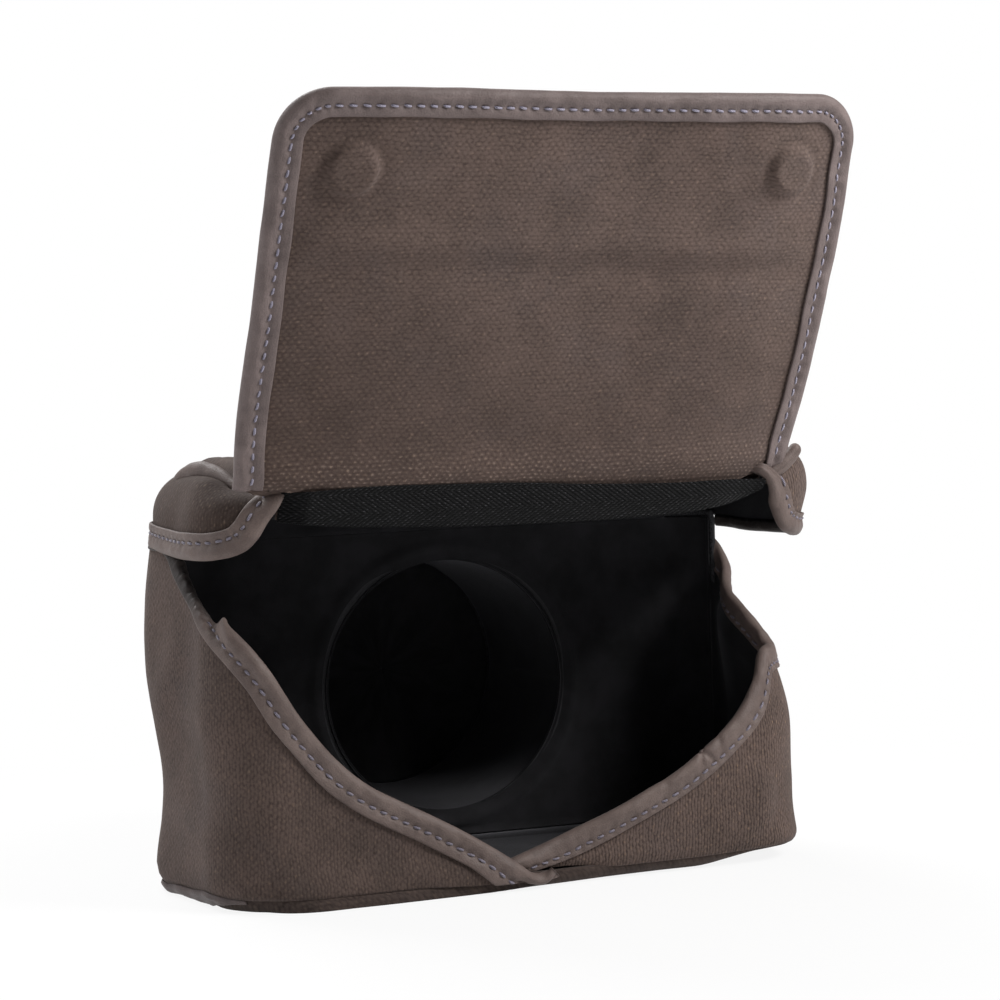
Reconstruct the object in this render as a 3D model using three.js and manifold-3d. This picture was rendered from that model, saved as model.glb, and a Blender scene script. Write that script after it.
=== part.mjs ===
import * as THREE from "three";
import { mergeVertices } from "three/addons/utils/BufferGeometryUtils.js";
import Module from "manifold-3d";

const wasm = await Module();
wasm.setup();

// A padded canvas camera case with its back flap folded up and open.
// The origin is the middle of the base, on the surface that the case stands on.
// +Z is up, +Y is the way the lens barrel points, and the open back faces -Y.
// Sizes are in millimetres and angles in degrees.

// Body
const bodyWidth = 151;
const bodyDepth = 55.6;
const bodyHeight = 97;
const cornerRadius = 15.5;
const baseRadius = 7;
const shoulderRadius = 9.5;
const baseSeamHeight = 3;
const hoodSkirt = 16.5;
const hoodLip = 11;

// Layers of the walls and of the flap
const canvas = 0.8;
const foam = 1.4;
const lining = 0.5;
const board = 1;
const leather = 1;
const tape = 0.8;
const clearance = 0.3;
const bindingWidth = 7;

// The ears' bound edge: runs from the start of the back corner, and depths below the case's top
const earTipRun = 0.9;
const earTipDrop = 5;
const earTurnRun = 16;
const earSkirt = 17.5;

// The wings' bound edge: its tips are measured from the middle of the back, and its knee back
// from the start of the back corner. Past that start its places are runs, and drops from its
// end under the ear.
const upperWingTip = 4;
const lowerWingTip = -12;
const crossingRun = 16;
const kneeFromCorner = 20;
const kneeHeight = 23.5;
const wingCornerRun = 6;
const wingCornerDrop = 24;
const wingSlopeRun = 18;
const wingSlopeDrop = 14.5;
const strapEndRun = 58;
const strapGap = 3;

// Flap: it hangs from a fold near the top, and when closed it ends just above the floor
const flapInset = 5.5;
const flapFloorGap = 0.5;
const flapCorner = 14;
const flapLean = 21.8;
const foldDrop = 3.5;
const foldStandOff = 3.6;
const flapFoot = 1.5;
const bindingFoot = 2.5;
const tapeHeight = 8;
const tapeInset = 1;

// Magnets
const magnetRadius = 4.7;
const magnetThickness = 1.6;
const magnetFromSide = 17.5;
const magnetFromEnd = 18;
const magnetSlack = 3;
const bumpRise = 1;

// Lens barrel, midway up the front wall
const lensRadius = 34;
const lensTaper = 1.5;
const lensReach = 38;
const lensCapRound = 5;
const lensCrown = 2;

// Piping: it lies at an angle up the shoulder, and humps over the ear's back corner
const pipingRadius = 1.5;
const pipingAngle = 57;
const pipingStart = 10;
const pipingHump = 20;
const pipingRise = 2.6;

// Facets
const cornerSteps = 8;
const shoulderSteps = 4;
const rollSteps = 4;
const leafSteps = 3;
const roundSteps = 32;
const discSteps = 24;
const curveSteps = 90;
const edgeStep = 6;

const halfWidth = bodyWidth / 2;
const halfDepth = bodyDepth / 2;
const wall = canvas + foam + lining + 2 * clearance;
const boundStack = canvas + clearance;
const flapStack = canvas + board + canvas + 2 * clearance;
const backRun = halfWidth - cornerRadius;
const cornerRun = (cornerRadius * Math.PI) / 2;
const sideRun = 2 * (halfDepth - cornerRadius);
const halfRound = 2 * (backRun + cornerRun) + sideRun;
const shoulderAt = bodyHeight - shoulderRadius;
const shoulderEnd = shoulderAt + (shoulderRadius * Math.PI) / 2;
const hoodHalf = backRun - clearance / 2;
const frontSeamHeight = bodyHeight - hoodSkirt;
const edgeCut = leather + clearance;

const kneeAt = backRun - kneeFromCorner;
const earTipAt = backRun + earTipRun;
const earTurnAt = backRun + earTurnRun;
const earTipHeight = bodyHeight - earTipDrop;
const earEdgeHeight = bodyHeight - earSkirt;
const strapEndAt = backRun + strapEndRun;
const strapEndHeight = earEdgeHeight - strapGap;

const foldY = -halfDepth - foldStandOff;
const foldHeight = bodyHeight - foldDrop;
const flapWidth = bodyWidth - 2 * flapInset;
const flapLength = foldHeight - flapFloorGap;
const magnetX = flapWidth / 2 - magnetFromSide;
const magnetFromFold = flapLength - magnetFromEnd;
const wingMagnetHeight = foldHeight - magnetFromFold - magnetSlack;
const lensHeight = (baseSeamHeight + frontSeamHeight) / 2;

const canvasLook = new THREE.MeshStandardMaterial({ color: 0x594a47, roughness: 0.95 });
const leatherLook = new THREE.MeshStandardMaterial({ color: 0x7d7271, roughness: 0.6 });
const liningLook = new THREE.MeshStandardMaterial({ color: 0x161518, roughness: 0.95 });
const tapeLook = new THREE.MeshStandardMaterial({ color: 0x1d1b1e, roughness: 0.9 });
const foamLook = new THREE.MeshStandardMaterial({ color: 0x3a3a3d, roughness: 1 });
const boardLook = new THREE.MeshStandardMaterial({ color: 0x6b5a48, roughness: 0.9 });
const magnetLook = new THREE.MeshStandardMaterial({ color: 0xb5b6ba, roughness: 0.3, metalness: 1 });

const caseGroup = new THREE.Group();
const flapGroup = new THREE.Group();
flapGroup.position.set(0, foldY, foldHeight);
flapGroup.rotation.x = THREE.MathUtils.degToRad(flapLean);
caseGroup.add(flapGroup);

function piece(name, geometry, look, group = caseGroup) {
  const mesh = new THREE.Mesh(geometry, look);
  mesh.name = name;
  group.add(mesh);
}

// A closed geometry from points and triangles, turned so that its faces point out.
function closedGeometry(points, index) {
  let volume = 0;
  for (let i = 0; i < index.length; i += 3) {
    const [a, b, c] = [points[index[i]], points[index[i + 1]], points[index[i + 2]]];
    volume += a.dot(new THREE.Vector3().crossVectors(b, c));
  }
  if (volume < 0) index.reverse();
  const geometry = new THREE.BufferGeometry().setFromPoints(points);
  geometry.setIndex(index);
  return geometry;
}

// A solid through a row of rings of equal size. The faces fill the first and the last ring,
// and without them the row closes on itself.
function loft(rings, faces) {
  const size = rings[0].length;
  const index = [];
  const bands = faces ? rings.length - 1 : rings.length;
  for (let i = 0; i < bands; i++) {
    const low = i * size;
    const high = ((i + 1) % rings.length) * size;
    for (let j = 0; j < size; j++) {
      const k = (j + 1) % size;
      index.push(low + j, low + k, high + k, low + j, high + k, high + j);
    }
  }
  const last = (rings.length - 1) * size;
  for (const [i, j, k] of faces ?? []) {
    index.push(k, j, i, last + i, last + j, last + k);
  }
  return closedGeometry(rings.flat(), index);
}

// Faces of a flat ring: of any outline, of a round one, and of a wall's two lines of points.
function outlineFaces(outline) {
  const faces = THREE.ShapeUtils.triangulateShape(outline, []);
  return THREE.ShapeUtils.isClockWise(outline) ? faces.map(([a, b, c]) => [c, b, a]) : faces;
}

function roundFaces(size) {
  return Array.from({ length: size - 2 }, (_, i) => [0, i + 1, i + 2]);
}

function lineFaces(count) {
  const end = 2 * count - 1;
  return Array.from({ length: count - 1 }, (_, i) => [
    [i, i + 1, end - i - 1],
    [i, end - i - 1, end - i],
  ]).flat();
}

function toSolid(geometry) {
  const bare = geometry.clone();
  bare.deleteAttribute("normal");
  bare.deleteAttribute("uv");
  const merged = mergeVertices(bare, 1e-4);
  return new wasm.Manifold(
    new wasm.Mesh({
      numProp: 3,
      vertProperties: new Float32Array(merged.attributes.position.array),
      triVerts: new Uint32Array(merged.index.array),
    }),
  );
}

function toGeometry(solid) {
  const mesh = solid.getMesh();
  const geometry = new THREE.BufferGeometry();
  geometry.setAttribute("position", new THREE.BufferAttribute(mesh.vertProperties, 3));
  geometry.setIndex(new THREE.BufferAttribute(mesh.triVerts, 1));
  return geometry;
}

function cut(geometry, ...tools) {
  return toGeometry(tools.reduce((solid, tool) => solid.subtract(toSolid(tool)), toSolid(geometry)));
}

// Values from one number to another in steps no longer than the step asked for.
function spread(from, to, step) {
  const count = Math.max(1, Math.ceil((to - from) / step - 1e-6));
  return Array.from({ length: count + 1 }, (_, i) => from + ((to - from) * i) / count);
}

// The plan of the walls, by the distance round them from the middle of the back.
// A negative distance runs on along the back, to the other side of the middle.
function plan(distance) {
  if (distance > halfRound) {
    const twin = plan(2 * halfRound - distance);
    return { x: -twin.x, y: twin.y, nx: -twin.nx, ny: twin.ny };
  }
  const corner = (turned, y) => {
    const angle = turned / cornerRadius;
    const nx = y < 0 ? Math.sin(angle) : Math.cos(angle);
    const ny = y < 0 ? -Math.cos(angle) : Math.sin(angle);
    return { x: backRun + cornerRadius * nx, y: y + cornerRadius * ny, nx, ny };
  };
  let left = distance - backRun;
  if (left < 0) return { x: distance, y: -halfDepth, nx: 0, ny: -1 };
  if (left < cornerRun) return corner(left, cornerRadius - halfDepth);
  left -= cornerRun;
  if (left < sideRun) return { x: halfWidth, y: cornerRadius - halfDepth + left, nx: 1, ny: 0 };
  left -= sideRun;
  if (left < cornerRun) return corner(left, halfDepth - cornerRadius);
  return { x: backRun - (left - cornerRun), y: halfDepth, nx: 0, ny: 1 };
}

// The section of the walls, by the distance up them: the base's rounding, the upright wall,
// the shoulder's rounding and the flat top.
function section(height) {
  if (height < baseRadius) {
    const angle = (baseRadius - height) / baseRadius;
    const [out, up] = [Math.cos(angle), -Math.sin(angle)];
    return { inset: baseRadius * (1 - out), z: baseRadius * (1 + up), out, up };
  }
  if (height <= shoulderAt) return { inset: 0, z: height, out: 1, up: 0 };
  if (height < shoulderEnd) {
    const angle = (height - shoulderAt) / shoulderRadius;
    const [out, up] = [Math.cos(angle), Math.sin(angle)];
    return { inset: shoulderRadius * (1 - out), z: shoulderAt + shoulderRadius * up, out, up };
  }
  return { inset: shoulderRadius + height - shoulderEnd, z: bodyHeight, out: 0, up: 1 };
}

// A point of the wall, by its distance round, its distance up and its depth under the canvas.
function wallPoint(distance, height, depth, side = 1) {
  const p = plan(distance);
  const q = section(height);
  const inset = q.inset + depth * q.out;
  return new THREE.Vector3(side * (p.x - inset * p.nx), p.y - inset * p.ny, q.z - depth * q.up);
}

const baseSeam = baseRadius * (1 - Math.asin(1 - baseSeamHeight / baseRadius));

// Distances round the wall, close together on the corners, and no further apart than the step
// that is given for the straight runs.
function stations(from, to, step = bodyWidth) {
  const stops = [from];
  let start = from;
  for (const [end, limit] of [
    [backRun, step],
    [backRun + cornerRun, cornerRun / cornerSteps],
    [backRun + cornerRun + sideRun, 2 * step],
    [halfRound - backRun, cornerRun / cornerSteps],
    [halfRound, step],
  ]) {
    const stop = Math.min(end, to);
    if (stop > start) {
      stops.push(...spread(start, stop, limit).slice(1));
      start = stop;
    }
  }
  return stops;
}

// The height and the slope's stretch of a drawn line at a distance round the wall. A width
// measured square to the line is that width times the stretch when it is measured upright.
function edgeOn(line, distance) {
  const found = line.findIndex((p) => p.x >= distance);
  const after = found < 0 ? line.length - 1 : Math.max(1, found);
  const [a, b] = [line[after - 1], line[after]];
  const slope = (b.y - a.y) / (b.x - a.x);
  return { at: distance, height: a.y + slope * (distance - a.x), stretch: Math.hypot(1, slope) };
}

// Directions square to a drawn line, one for each of its points.
function across(line) {
  return line.map((_, i) => {
    const before = line[Math.max(0, i - 1)];
    const after = line[Math.min(line.length - 1, i + 1)];
    const run = after.clone().sub(before).normalize();
    return new THREE.Vector2(-run.y, run.x);
  });
}

// A layer of wall: for each station a column of heights, drawn at two depths.
function wallLayer(columns, outer, thickness, side = 1, lift = () => 0) {
  const rings = columns.map(({ at, heights }) => {
    const line = (depth) => heights.map((h) => wallPoint(at, h, depth - lift(at), side));
    return [...line(outer), ...line(outer + thickness).reverse()];
  });
  return loft(rings, lineFaces(rings[0].length / 2));
}

// Columns of heights: from a bottom on the base's rounding up, and from a height up over the
// shoulder. In a short column the bend ends three quarters of the way along.
const bendShare = 0.75;

function lowColumn(bottom, top) {
  const bend = Math.min(baseRadius, bottom + bendShare * (top - bottom));
  return [...spread(bottom, bend, (bend - bottom) / (shoulderSteps - 1)), top];
}

function highColumn(bottom, top) {
  const end = Math.max(shoulderEnd, top - bendShare * (top - bottom));
  const bend = Math.max(shoulderAt, end - bendShare * (end - bottom));
  return [bottom, ...spread(bend, end, (end - bend) / shoulderSteps), top];
}

// The section of a binding folded over an edge: across is measured from its rolled edge inwards,
// and the depth from the face that it covers. The roll is a half circle, and each leaf has its
// width in a number of steps, so that it can follow a curved surface.
function bindingSection(stack, steps) {
  const roll = stack / 2 + edgeCut;
  const middle = stack / 2;
  const round = spread(0, Math.PI, Math.PI / rollSteps).map((angle) => {
    return new THREE.Vector2(roll - roll * Math.sin(angle), middle - roll * Math.cos(angle));
  });
  const leaf = (from, depth) =>
    spread(from, bindingWidth, (bindingWidth - from) / steps).map((x) => new THREE.Vector2(x, depth));
  return [
    ...leaf(roll, -edgeCut).slice(1).reverse(),
    ...round,
    ...leaf(roll, stack + edgeCut).slice(1),
    ...leaf(leather, stack + clearance).reverse(),
    ...leaf(leather, -clearance),
  ];
}

// A binding along an edge drawn on a surface. The inward directions run from the edge over the
// surface that it binds.
function binding(edge, inward, stack, steps, point) {
  const outline = bindingSection(stack, steps);
  const rings = edge.map((p, i) =>
    outline.map((s) => point(p.x + inward[i].x * s.x, p.y + inward[i].y * s.x, s.y)),
  );
  return loft(rings, outlineFaces(outline));
}

// A binding along an edge of the wall, with the wall above or below it. It has half a clearance
// more on each face of the canvas, for the facets of the bends.
function wallBinding(stops, wallIs, side, lift = () => 0) {
  const edge = stops.map((s) => new THREE.Vector2(s.at, s.height));
  const inward = stops.map((s) => new THREE.Vector2(0, wallIs * s.stretch));
  const surface = (d, h, depth) => wallPoint(d, h, depth - clearance / 2 - lift(d), side);
  return binding(edge, inward, boundStack, leafSteps, surface);
}

function disc(radius, thickness) {
  return new THREE.CylinderGeometry(radius, radius, thickness, discSteps);
}

// Base: a tray of canvas, with foam and lining on its floor
function planRing(height, depth) {
  const at = stations(0, halfRound);
  const right = at.map((d) => wallPoint(d, height, depth));
  const left = at.slice(1, -1).map((d) => wallPoint(d, height, depth, -1));
  return [...right, ...left.reverse()];
}

function basePanel() {
  const rise = spread(baseRadius * (1 - Math.PI / 2), baseSeam - clearance / 2, baseRadius / 3);
  const rings = [...rise.map((h) => planRing(h, 0)), ...rise.reverse().map((h) => planRing(h, canvas))];
  return loft(rings, roundFaces(rings[0].length));
}

function baseSheet(edge, bottom, thickness) {
  const flat = baseRadius * (1 - Math.PI / 2);
  const ring = planRing(flat, 0).map((p) => {
    const scale = new THREE.Vector3(
      (halfWidth - edge) / (halfWidth - baseRadius),
      (halfDepth - edge) / (halfDepth - baseRadius),
      1,
    );
    return p.multiply(scale);
  });
  const rings = [bottom, bottom + thickness].map((z) => ring.map((p) => p.clone().setZ(z)));
  return loft(rings, roundFaces(ring.length));
}

function buildBase() {
  const foamBottom = canvas + clearance;
  const liningBottom = foamBottom + foam + clearance;
  piece("base_panel", basePanel(), canvasLook);
  piece("base_foam", baseSheet(baseRadius + clearance, foamBottom, foam), foamLook);
  piece("base_lining", baseSheet(baseRadius - lining, liningBottom, lining), liningLook);
}

// Wings: each side wall, which wraps round its back corner to the crossing at the middle.
// The upper wing lies over the lower one there, and both make way for the other. The edge runs
// nearly straight from the tip to its knee.
function wingEdge(tip) {
  const knee = new THREE.Vector2(kneeAt, kneeHeight);
  const foot = new THREE.Vector2(tip, baseSeam);
  const straight = [0.4, 0.75].map((share) => foot.clone().lerp(knee, share));
  const curve = new THREE.SplineCurve([
    foot,
    ...straight,
    knee,
    new THREE.Vector2(backRun + wingCornerRun, strapEndHeight - wingCornerDrop),
    new THREE.Vector2(backRun + wingSlopeRun, strapEndHeight - wingSlopeDrop),
    new THREE.Vector2(strapEndAt, strapEndHeight),
  ]);
  return curve.getPoints(curveSteps);
}

function crossingLift(tip, amount) {
  const full = tip + crossingRun;
  return (d) => amount * THREE.MathUtils.smoothstep(full + crossingRun - d, 0, crossingRun);
}

function buildWing(name, side, tip, amount) {
  const edge = wingEdge(tip);
  const lift = crossingLift(tip, amount);
  const bottom = baseSeam + clearance / 2;
  const stops = stations(tip, strapEndAt, edgeStep).map((d) => edgeOn(edge, d));
  const layer = (trim, outer, thickness) => {
    const tall = stops.filter((s) => s.height - trim * s.stretch > bottom + leather);
    const columns = tall.map((s) => ({
      at: s.at,
      heights: lowColumn(bottom, s.height - trim * s.stretch),
    }));
    return wallLayer(columns, outer, thickness, side, lift);
  };
  const bound = edgeCut + clearance;
  const padded = bindingWidth + clearance;
  piece("wing_" + name, layer(bound, 0, canvas), canvasLook);
  const pocket = magnetPocket(side);
  piece("wing_foam_" + name, cut(layer(padded, canvas + clearance, foam), pocket), foamLook);
  piece("wing_lining_" + name, layer(padded, wall - lining, lining), liningLook);
  const below = new THREE.BoxGeometry(2 * bodyWidth, 2 * bodyDepth, bodyHeight);
  below.translate(0, 0, baseSeamHeight + canvas - bodyHeight / 2);
  piece("wing_binding_" + name, cut(wallBinding(stops, -1, side, lift), below), leatherLook);
}

function buildWings() {
  const bound = boundStack + 2 * edgeCut + clearance;
  buildWing("left", -1, upperWingTip, bound / 2);
  buildWing("right", 1, lowerWingTip, -bound / 2);
}

// Magnets: one pair in the wings' foam and one pair in the flap's board
function magnetPocket(side) {
  const pocket = disc(magnetRadius + clearance, 2 * wall);
  return pocket.translate(side * magnetX, -halfDepth, wingMagnetHeight);
}

function buildWingMagnets() {
  const y = -halfDepth + canvas + clearance + foam / 2;
  for (const [name, side] of [["left", -1], ["right", 1]]) {
    const magnet = disc(magnetRadius, foam).translate(side * magnetX, y, wingMagnetHeight);
    piece("wing_magnet_" + name, magnet, magnetLook);
  }
}

// Front wall, with the hole of the lens barrel
function buildFront() {
  const right = stations(strapEndAt + clearance, halfRound);
  const round = [...right, ...right.slice(0, -1).reverse().map((d) => 2 * halfRound - d)];
  const heights = lowColumn(baseSeam + clearance / 2, frontSeamHeight);
  const columns = round.map((at) => ({ at, heights }));
  const hole = disc(lensRadius + clearance, 4 * wall).translate(0, halfDepth, lensHeight);
  const layer = (outer, thickness) => cut(wallLayer(columns, outer, thickness), hole);
  piece("front_panel", layer(0, canvas), canvasLook);
  piece("front_foam", layer(canvas + clearance, foam), foamLook);
  piece("front_lining", layer(wall - lining, lining), liningLook);
}

// Lens barrel: a tapered band through the front wall, and its end cap
function lensRing(radius, y) {
  return Array.from({ length: roundSteps }, (_, i) => {
    const angle = (2 * Math.PI * i) / roundSteps;
    return new THREE.Vector3(radius * Math.cos(angle), y, lensHeight + radius * Math.sin(angle));
  });
}

function lensBand(depth, thickness) {
  const start = halfDepth - wall;
  const end = halfDepth + lensReach;
  const endRadius = lensRadius - lensTaper;
  const [outer, inner] = [depth, depth + thickness];
  return loft([
    lensRing(lensRadius - outer, start),
    lensRing(endRadius - outer, end),
    lensRing(endRadius - inner, end),
    lensRing(lensRadius - inner, start),
  ]);
}

// The cap's profile: the rounding from the band's end, then a low crown.
function capRings(depth) {
  const end = halfDepth + lensReach + clearance;
  const flat = lensRadius - lensTaper - lensCapRound;
  const round = spread(0, Math.PI / 2, Math.PI / 6).map((angle) => {
    const r = lensCapRound - depth;
    return lensRing(flat + r * Math.cos(angle), end + r * Math.sin(angle));
  });
  const face = end + lensCapRound - depth;
  return [...round, lensRing(flat / 2, face + lensCrown)];
}

function capSheet(depth, thickness) {
  const flat = lensRadius - lensTaper - lensCapRound;
  const face = halfDepth + lensReach + clearance + lensCapRound;
  const rings = [face - depth, face - depth - thickness].map((y) => lensRing(flat, y));
  return loft(rings, roundFaces(roundSteps));
}

function buildLensBarrel() {
  const inner = canvas + clearance;
  piece("lens_band", lensBand(0, canvas), canvasLook);
  piece("lens_foam", lensBand(inner, foam), foamLook);
  piece("lens_lining", lensBand(wall - lining, lining), liningLook);
  const cap = loft([...capRings(0).reverse(), ...capRings(canvas)], roundFaces(roundSteps));
  piece("lens_cap", cap, canvasLook);
  piece("lens_cap_foam", capSheet(inner, foam), foamLook);
  piece("lens_cap_lining", capSheet(wall - lining, lining), liningLook);
}

// Hood: the strip over the top, from the front seam to the lip under the flap's fold
function hoodLayer(outer, thickness) {
  const front = spread(frontSeamHeight + clearance, shoulderEnd, shoulderRadius / 3);
  const back = spread(bodyHeight - hoodLip, shoulderEnd, shoulderRadius / 3).reverse();
  const line = (depth) => [
    ...front.map((h) => wallPoint(halfRound, h, depth)),
    ...back.map((h) => wallPoint(0, h, depth)),
  ];
  const ring = [...line(outer), ...line(outer + thickness).reverse()];
  const rings = [-hoodHalf, hoodHalf].map((x) => ring.map((p) => p.clone().setX(x)));
  return loft(rings, lineFaces(ring.length / 2));
}

// Ears: the ends of the hood, which turn down over the strap openings. The edge falls from the
// ear's tip in a parabola, and then runs level.
function earStops() {
  const edge = spread(earTipAt, earTurnAt, 1).map((d) => {
    const left = (earTurnAt - d) / (earTurnAt - earTipAt);
    return new THREE.Vector2(d, THREE.MathUtils.lerp(earEdgeHeight, earTipHeight, left * left));
  });
  edge.push(new THREE.Vector2(strapEndAt, earEdgeHeight));
  return stations(earTipAt, strapEndAt).map((d) => edgeOn(edge, d));
}

function earLayer(side, trim, outer, thickness) {
  const top = shoulderEnd + cornerRadius - shoulderRadius - clearance / 2;
  const column = (at, bottom) => ({ at, heights: highColumn(bottom, top) });
  const front = stations(strapEndAt, halfRound - backRun).slice(1);
  const columns = [
    ...earStops().map((s) => column(s.at, s.height + trim * s.stretch)),
    ...front.map((d) => column(d, frontSeamHeight + clearance)),
  ];
  return wallLayer(columns, outer, thickness, side);
}

// Piping: rolls out of the flap's corner over the ear, then follows the hood's edge forward
function piping(side) {
  const seat = shoulderAt + shoulderRadius * THREE.MathUtils.degToRad(pipingAngle);
  const points = spread(pipingStart, cornerRun + sideRun, pipingHump / 4).map((run) => {
    const turn = Math.min(1, (run - pipingStart) / pipingHump) * Math.PI;
    const rise = pipingRise * Math.sin(turn) ** 2;
    return wallPoint(backRun + run, seat, -pipingRadius - clearance - rise, side);
  });
  const curve = new THREE.CatmullRomCurve3(points);
  const circle = new THREE.Shape().absarc(0, 0, pipingRadius, 0, 2 * Math.PI);
  const steps = 2 * points.length;
  return new THREE.ExtrudeGeometry(circle, { steps, curveSegments: 4, extrudePath: curve });
}

function buildHood() {
  piece("hood_panel", hoodLayer(0, canvas), canvasLook);
  piece("hood_foam", hoodLayer(canvas + clearance, foam), foamLook);
  piece("hood_lining", hoodLayer(wall - lining, lining), liningLook);
  for (const [name, side] of [["left", -1], ["right", 1]]) {
    piece("ear_" + name, earLayer(side, edgeCut + clearance, 0, canvas), canvasLook);
    const inner = earLayer(side, bindingWidth + clearance, canvas + clearance, lining);
    piece("ear_lining_" + name, inner, liningLook);
    const bound = earStops().filter((s) => s.at < strapEndAt - clearance);
    piece("ear_binding_" + name, wallBinding(bound, 1, side), leatherLook);
    piece("hood_piping_" + name, piping(side), leatherLook);
  }
}

// Tape: covers the fold inside, from the hood's lip up to the flap's foot
function buildTape() {
  const y = -halfDepth - clearance - tape / 2;
  const top = new THREE.Vector2(foldY + (canvas + tape + clearance) / 2, foldHeight - tape / 2);
  const curve = new THREE.SplineCurve([
    new THREE.Vector2(y, foldHeight - tapeHeight),
    new THREE.Vector2(y, foldHeight - tapeHeight / 2),
    new THREE.Vector2((y + top.x + tape) / 2, top.y - 1.5 * tape),
    top,
  ]);
  const line = curve.getPoints(tapeHeight);
  const normals = across(line);
  const edge = (offset) => line.map((p, i) => p.clone().addScaledVector(normals[i], offset));
  const outline = [...edge(tape / 2), ...edge(-tape / 2).reverse()];
  const half = backRun - tapeInset;
  const rings = [-half, half].map((x) => outline.map((p) => new THREE.Vector3(x, p.x, p.y)));
  piece("hinge_tape", loft(rings, lineFaces(line.length)), tapeLook);
}

// Leather strips that bind the ends of the base, under the wings' overhang
function buildBaseBindings() {
  const turn = Math.asin((baseRadius - clearance) / (baseRadius + edgeCut));
  const low = baseRadius * (1 - turn);
  const at = stations(backRun - cornerRun / cornerSteps, halfRound - backRun);
  for (const [name, side] of [["left", -1], ["right", 1]]) {
    const rings = at.map((d) => {
      const heights = spread(low, baseSeam - clearance, leather);
      const outer = heights.map((h) => wallPoint(d, h, -edgeCut, side));
      const inner = heights.map((h) => wallPoint(d, h, -clearance, side)).reverse();
      return [...outer, ...inner];
    });
    piece("base_binding_" + name, loft(rings, lineFaces(rings[0].length / 2)), leatherLook);
  }
}

// Flap. In its own frame x runs across, z runs up from the fold and y is the depth from the
// middle of the inner canvas, towards the outer face.
function flapShape(trim, foot) {
  const [half, top, radius] = [flapWidth / 2 - trim, flapLength - trim, flapCorner - trim];
  const shape = new THREE.Shape();
  shape.moveTo(-half, foot);
  shape.lineTo(half, foot);
  shape.lineTo(half, top - radius);
  shape.absarc(half - radius, top - radius, radius, 0, Math.PI / 2);
  shape.lineTo(radius - half, top);
  shape.absarc(radius - half, top - radius, radius, Math.PI / 2, Math.PI);
  return shape;
}

function flapSheet(foot, depth, thickness) {
  const shape = flapShape(edgeCut + clearance, foot);
  const options = { depth: thickness, bevelEnabled: false, curveSegments: cornerSteps };
  const sheet = new THREE.ExtrudeGeometry(shape, options);
  return sheet.rotateX(Math.PI / 2).translate(0, depth + thickness - canvas / 2, 0);
}

// The covered magnets stand out of the inner canvas as low round bumps.
function flapInner() {
  const skin = canvas / 2;
  const start = -canvas / 2;
  const base = magnetRadius + clearance + canvas;
  let solid = toSolid(flapSheet(0, 0, canvas));
  for (const x of [-magnetX, magnetX]) {
    const bump = new THREE.CylinderGeometry(base, base - bumpRise / 2, bumpRise + skin, discSteps);
    bump.translate(x, start - bumpRise / 2 + skin / 2, magnetFromFold);
    const recess = disc(magnetRadius + clearance, bumpRise + canvas);
    recess.translate(x, start - bumpRise + skin + (bumpRise + canvas) / 2, magnetFromFold);
    solid = solid.add(toSolid(bump)).subtract(toSolid(recess));
  }
  return toGeometry(solid);
}

function flapBinding() {
  const half = flapWidth / 2;
  const top = flapLength - flapCorner;
  const edge = [new THREE.Vector2(-half, bindingFoot)];
  const inward = [new THREE.Vector2(1, 0)];
  for (const [x, start] of [[flapCorner - half, Math.PI], [half - flapCorner, Math.PI / 2]]) {
    for (const turn of spread(0, Math.PI / 2, Math.PI / 2 / cornerSteps)) {
      const angle = start - turn;
      const out = new THREE.Vector2(Math.cos(angle), Math.sin(angle));
      edge.push(new THREE.Vector2(x, top).addScaledVector(out, flapCorner));
      inward.push(out.negate());
    }
  }
  edge.push(new THREE.Vector2(half, bindingFoot));
  inward.push(new THREE.Vector2(-1, 0));
  const surface = (x, z, depth) => new THREE.Vector3(x, depth - canvas / 2, z);
  return binding(edge, inward, flapStack, 1, surface);
}

function buildFlap() {
  const boardDepth = canvas + clearance;
  const outerDepth = flapStack - canvas;
  const holes = [-magnetX, magnetX].map((x) =>
    disc(magnetRadius + clearance, flapStack).translate(x, flapStack / 2, magnetFromFold),
  );
  piece("flap_inner", flapInner(), canvasLook, flapGroup);
  piece("flap_board", cut(flapSheet(flapFoot, boardDepth, board), ...holes), boardLook, flapGroup);
  piece("flap_outer", flapSheet(flapFoot, outerDepth, canvas), canvasLook, flapGroup);
  piece("flap_binding", flapBinding(), leatherLook, flapGroup);
  const seat = flapStack - canvas / 2 - canvas - clearance - magnetThickness / 2;
  for (const [name, side] of [["left", -1], ["right", 1]]) {
    const magnet = disc(magnetRadius, magnetThickness);
    magnet.translate(side * magnetX, seat, magnetFromFold);
    piece("flap_magnet_" + name, magnet, magnetLook, flapGroup);
  }
}

buildBase();
buildWings();
buildWingMagnets();
buildFront();
buildLensBarrel();
buildHood();
buildTape();
buildBaseBindings();
buildFlap();

export default caseGroup;
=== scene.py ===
import math

import bpy
import numpy as np
from mathutils import Matrix, Vector

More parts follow.
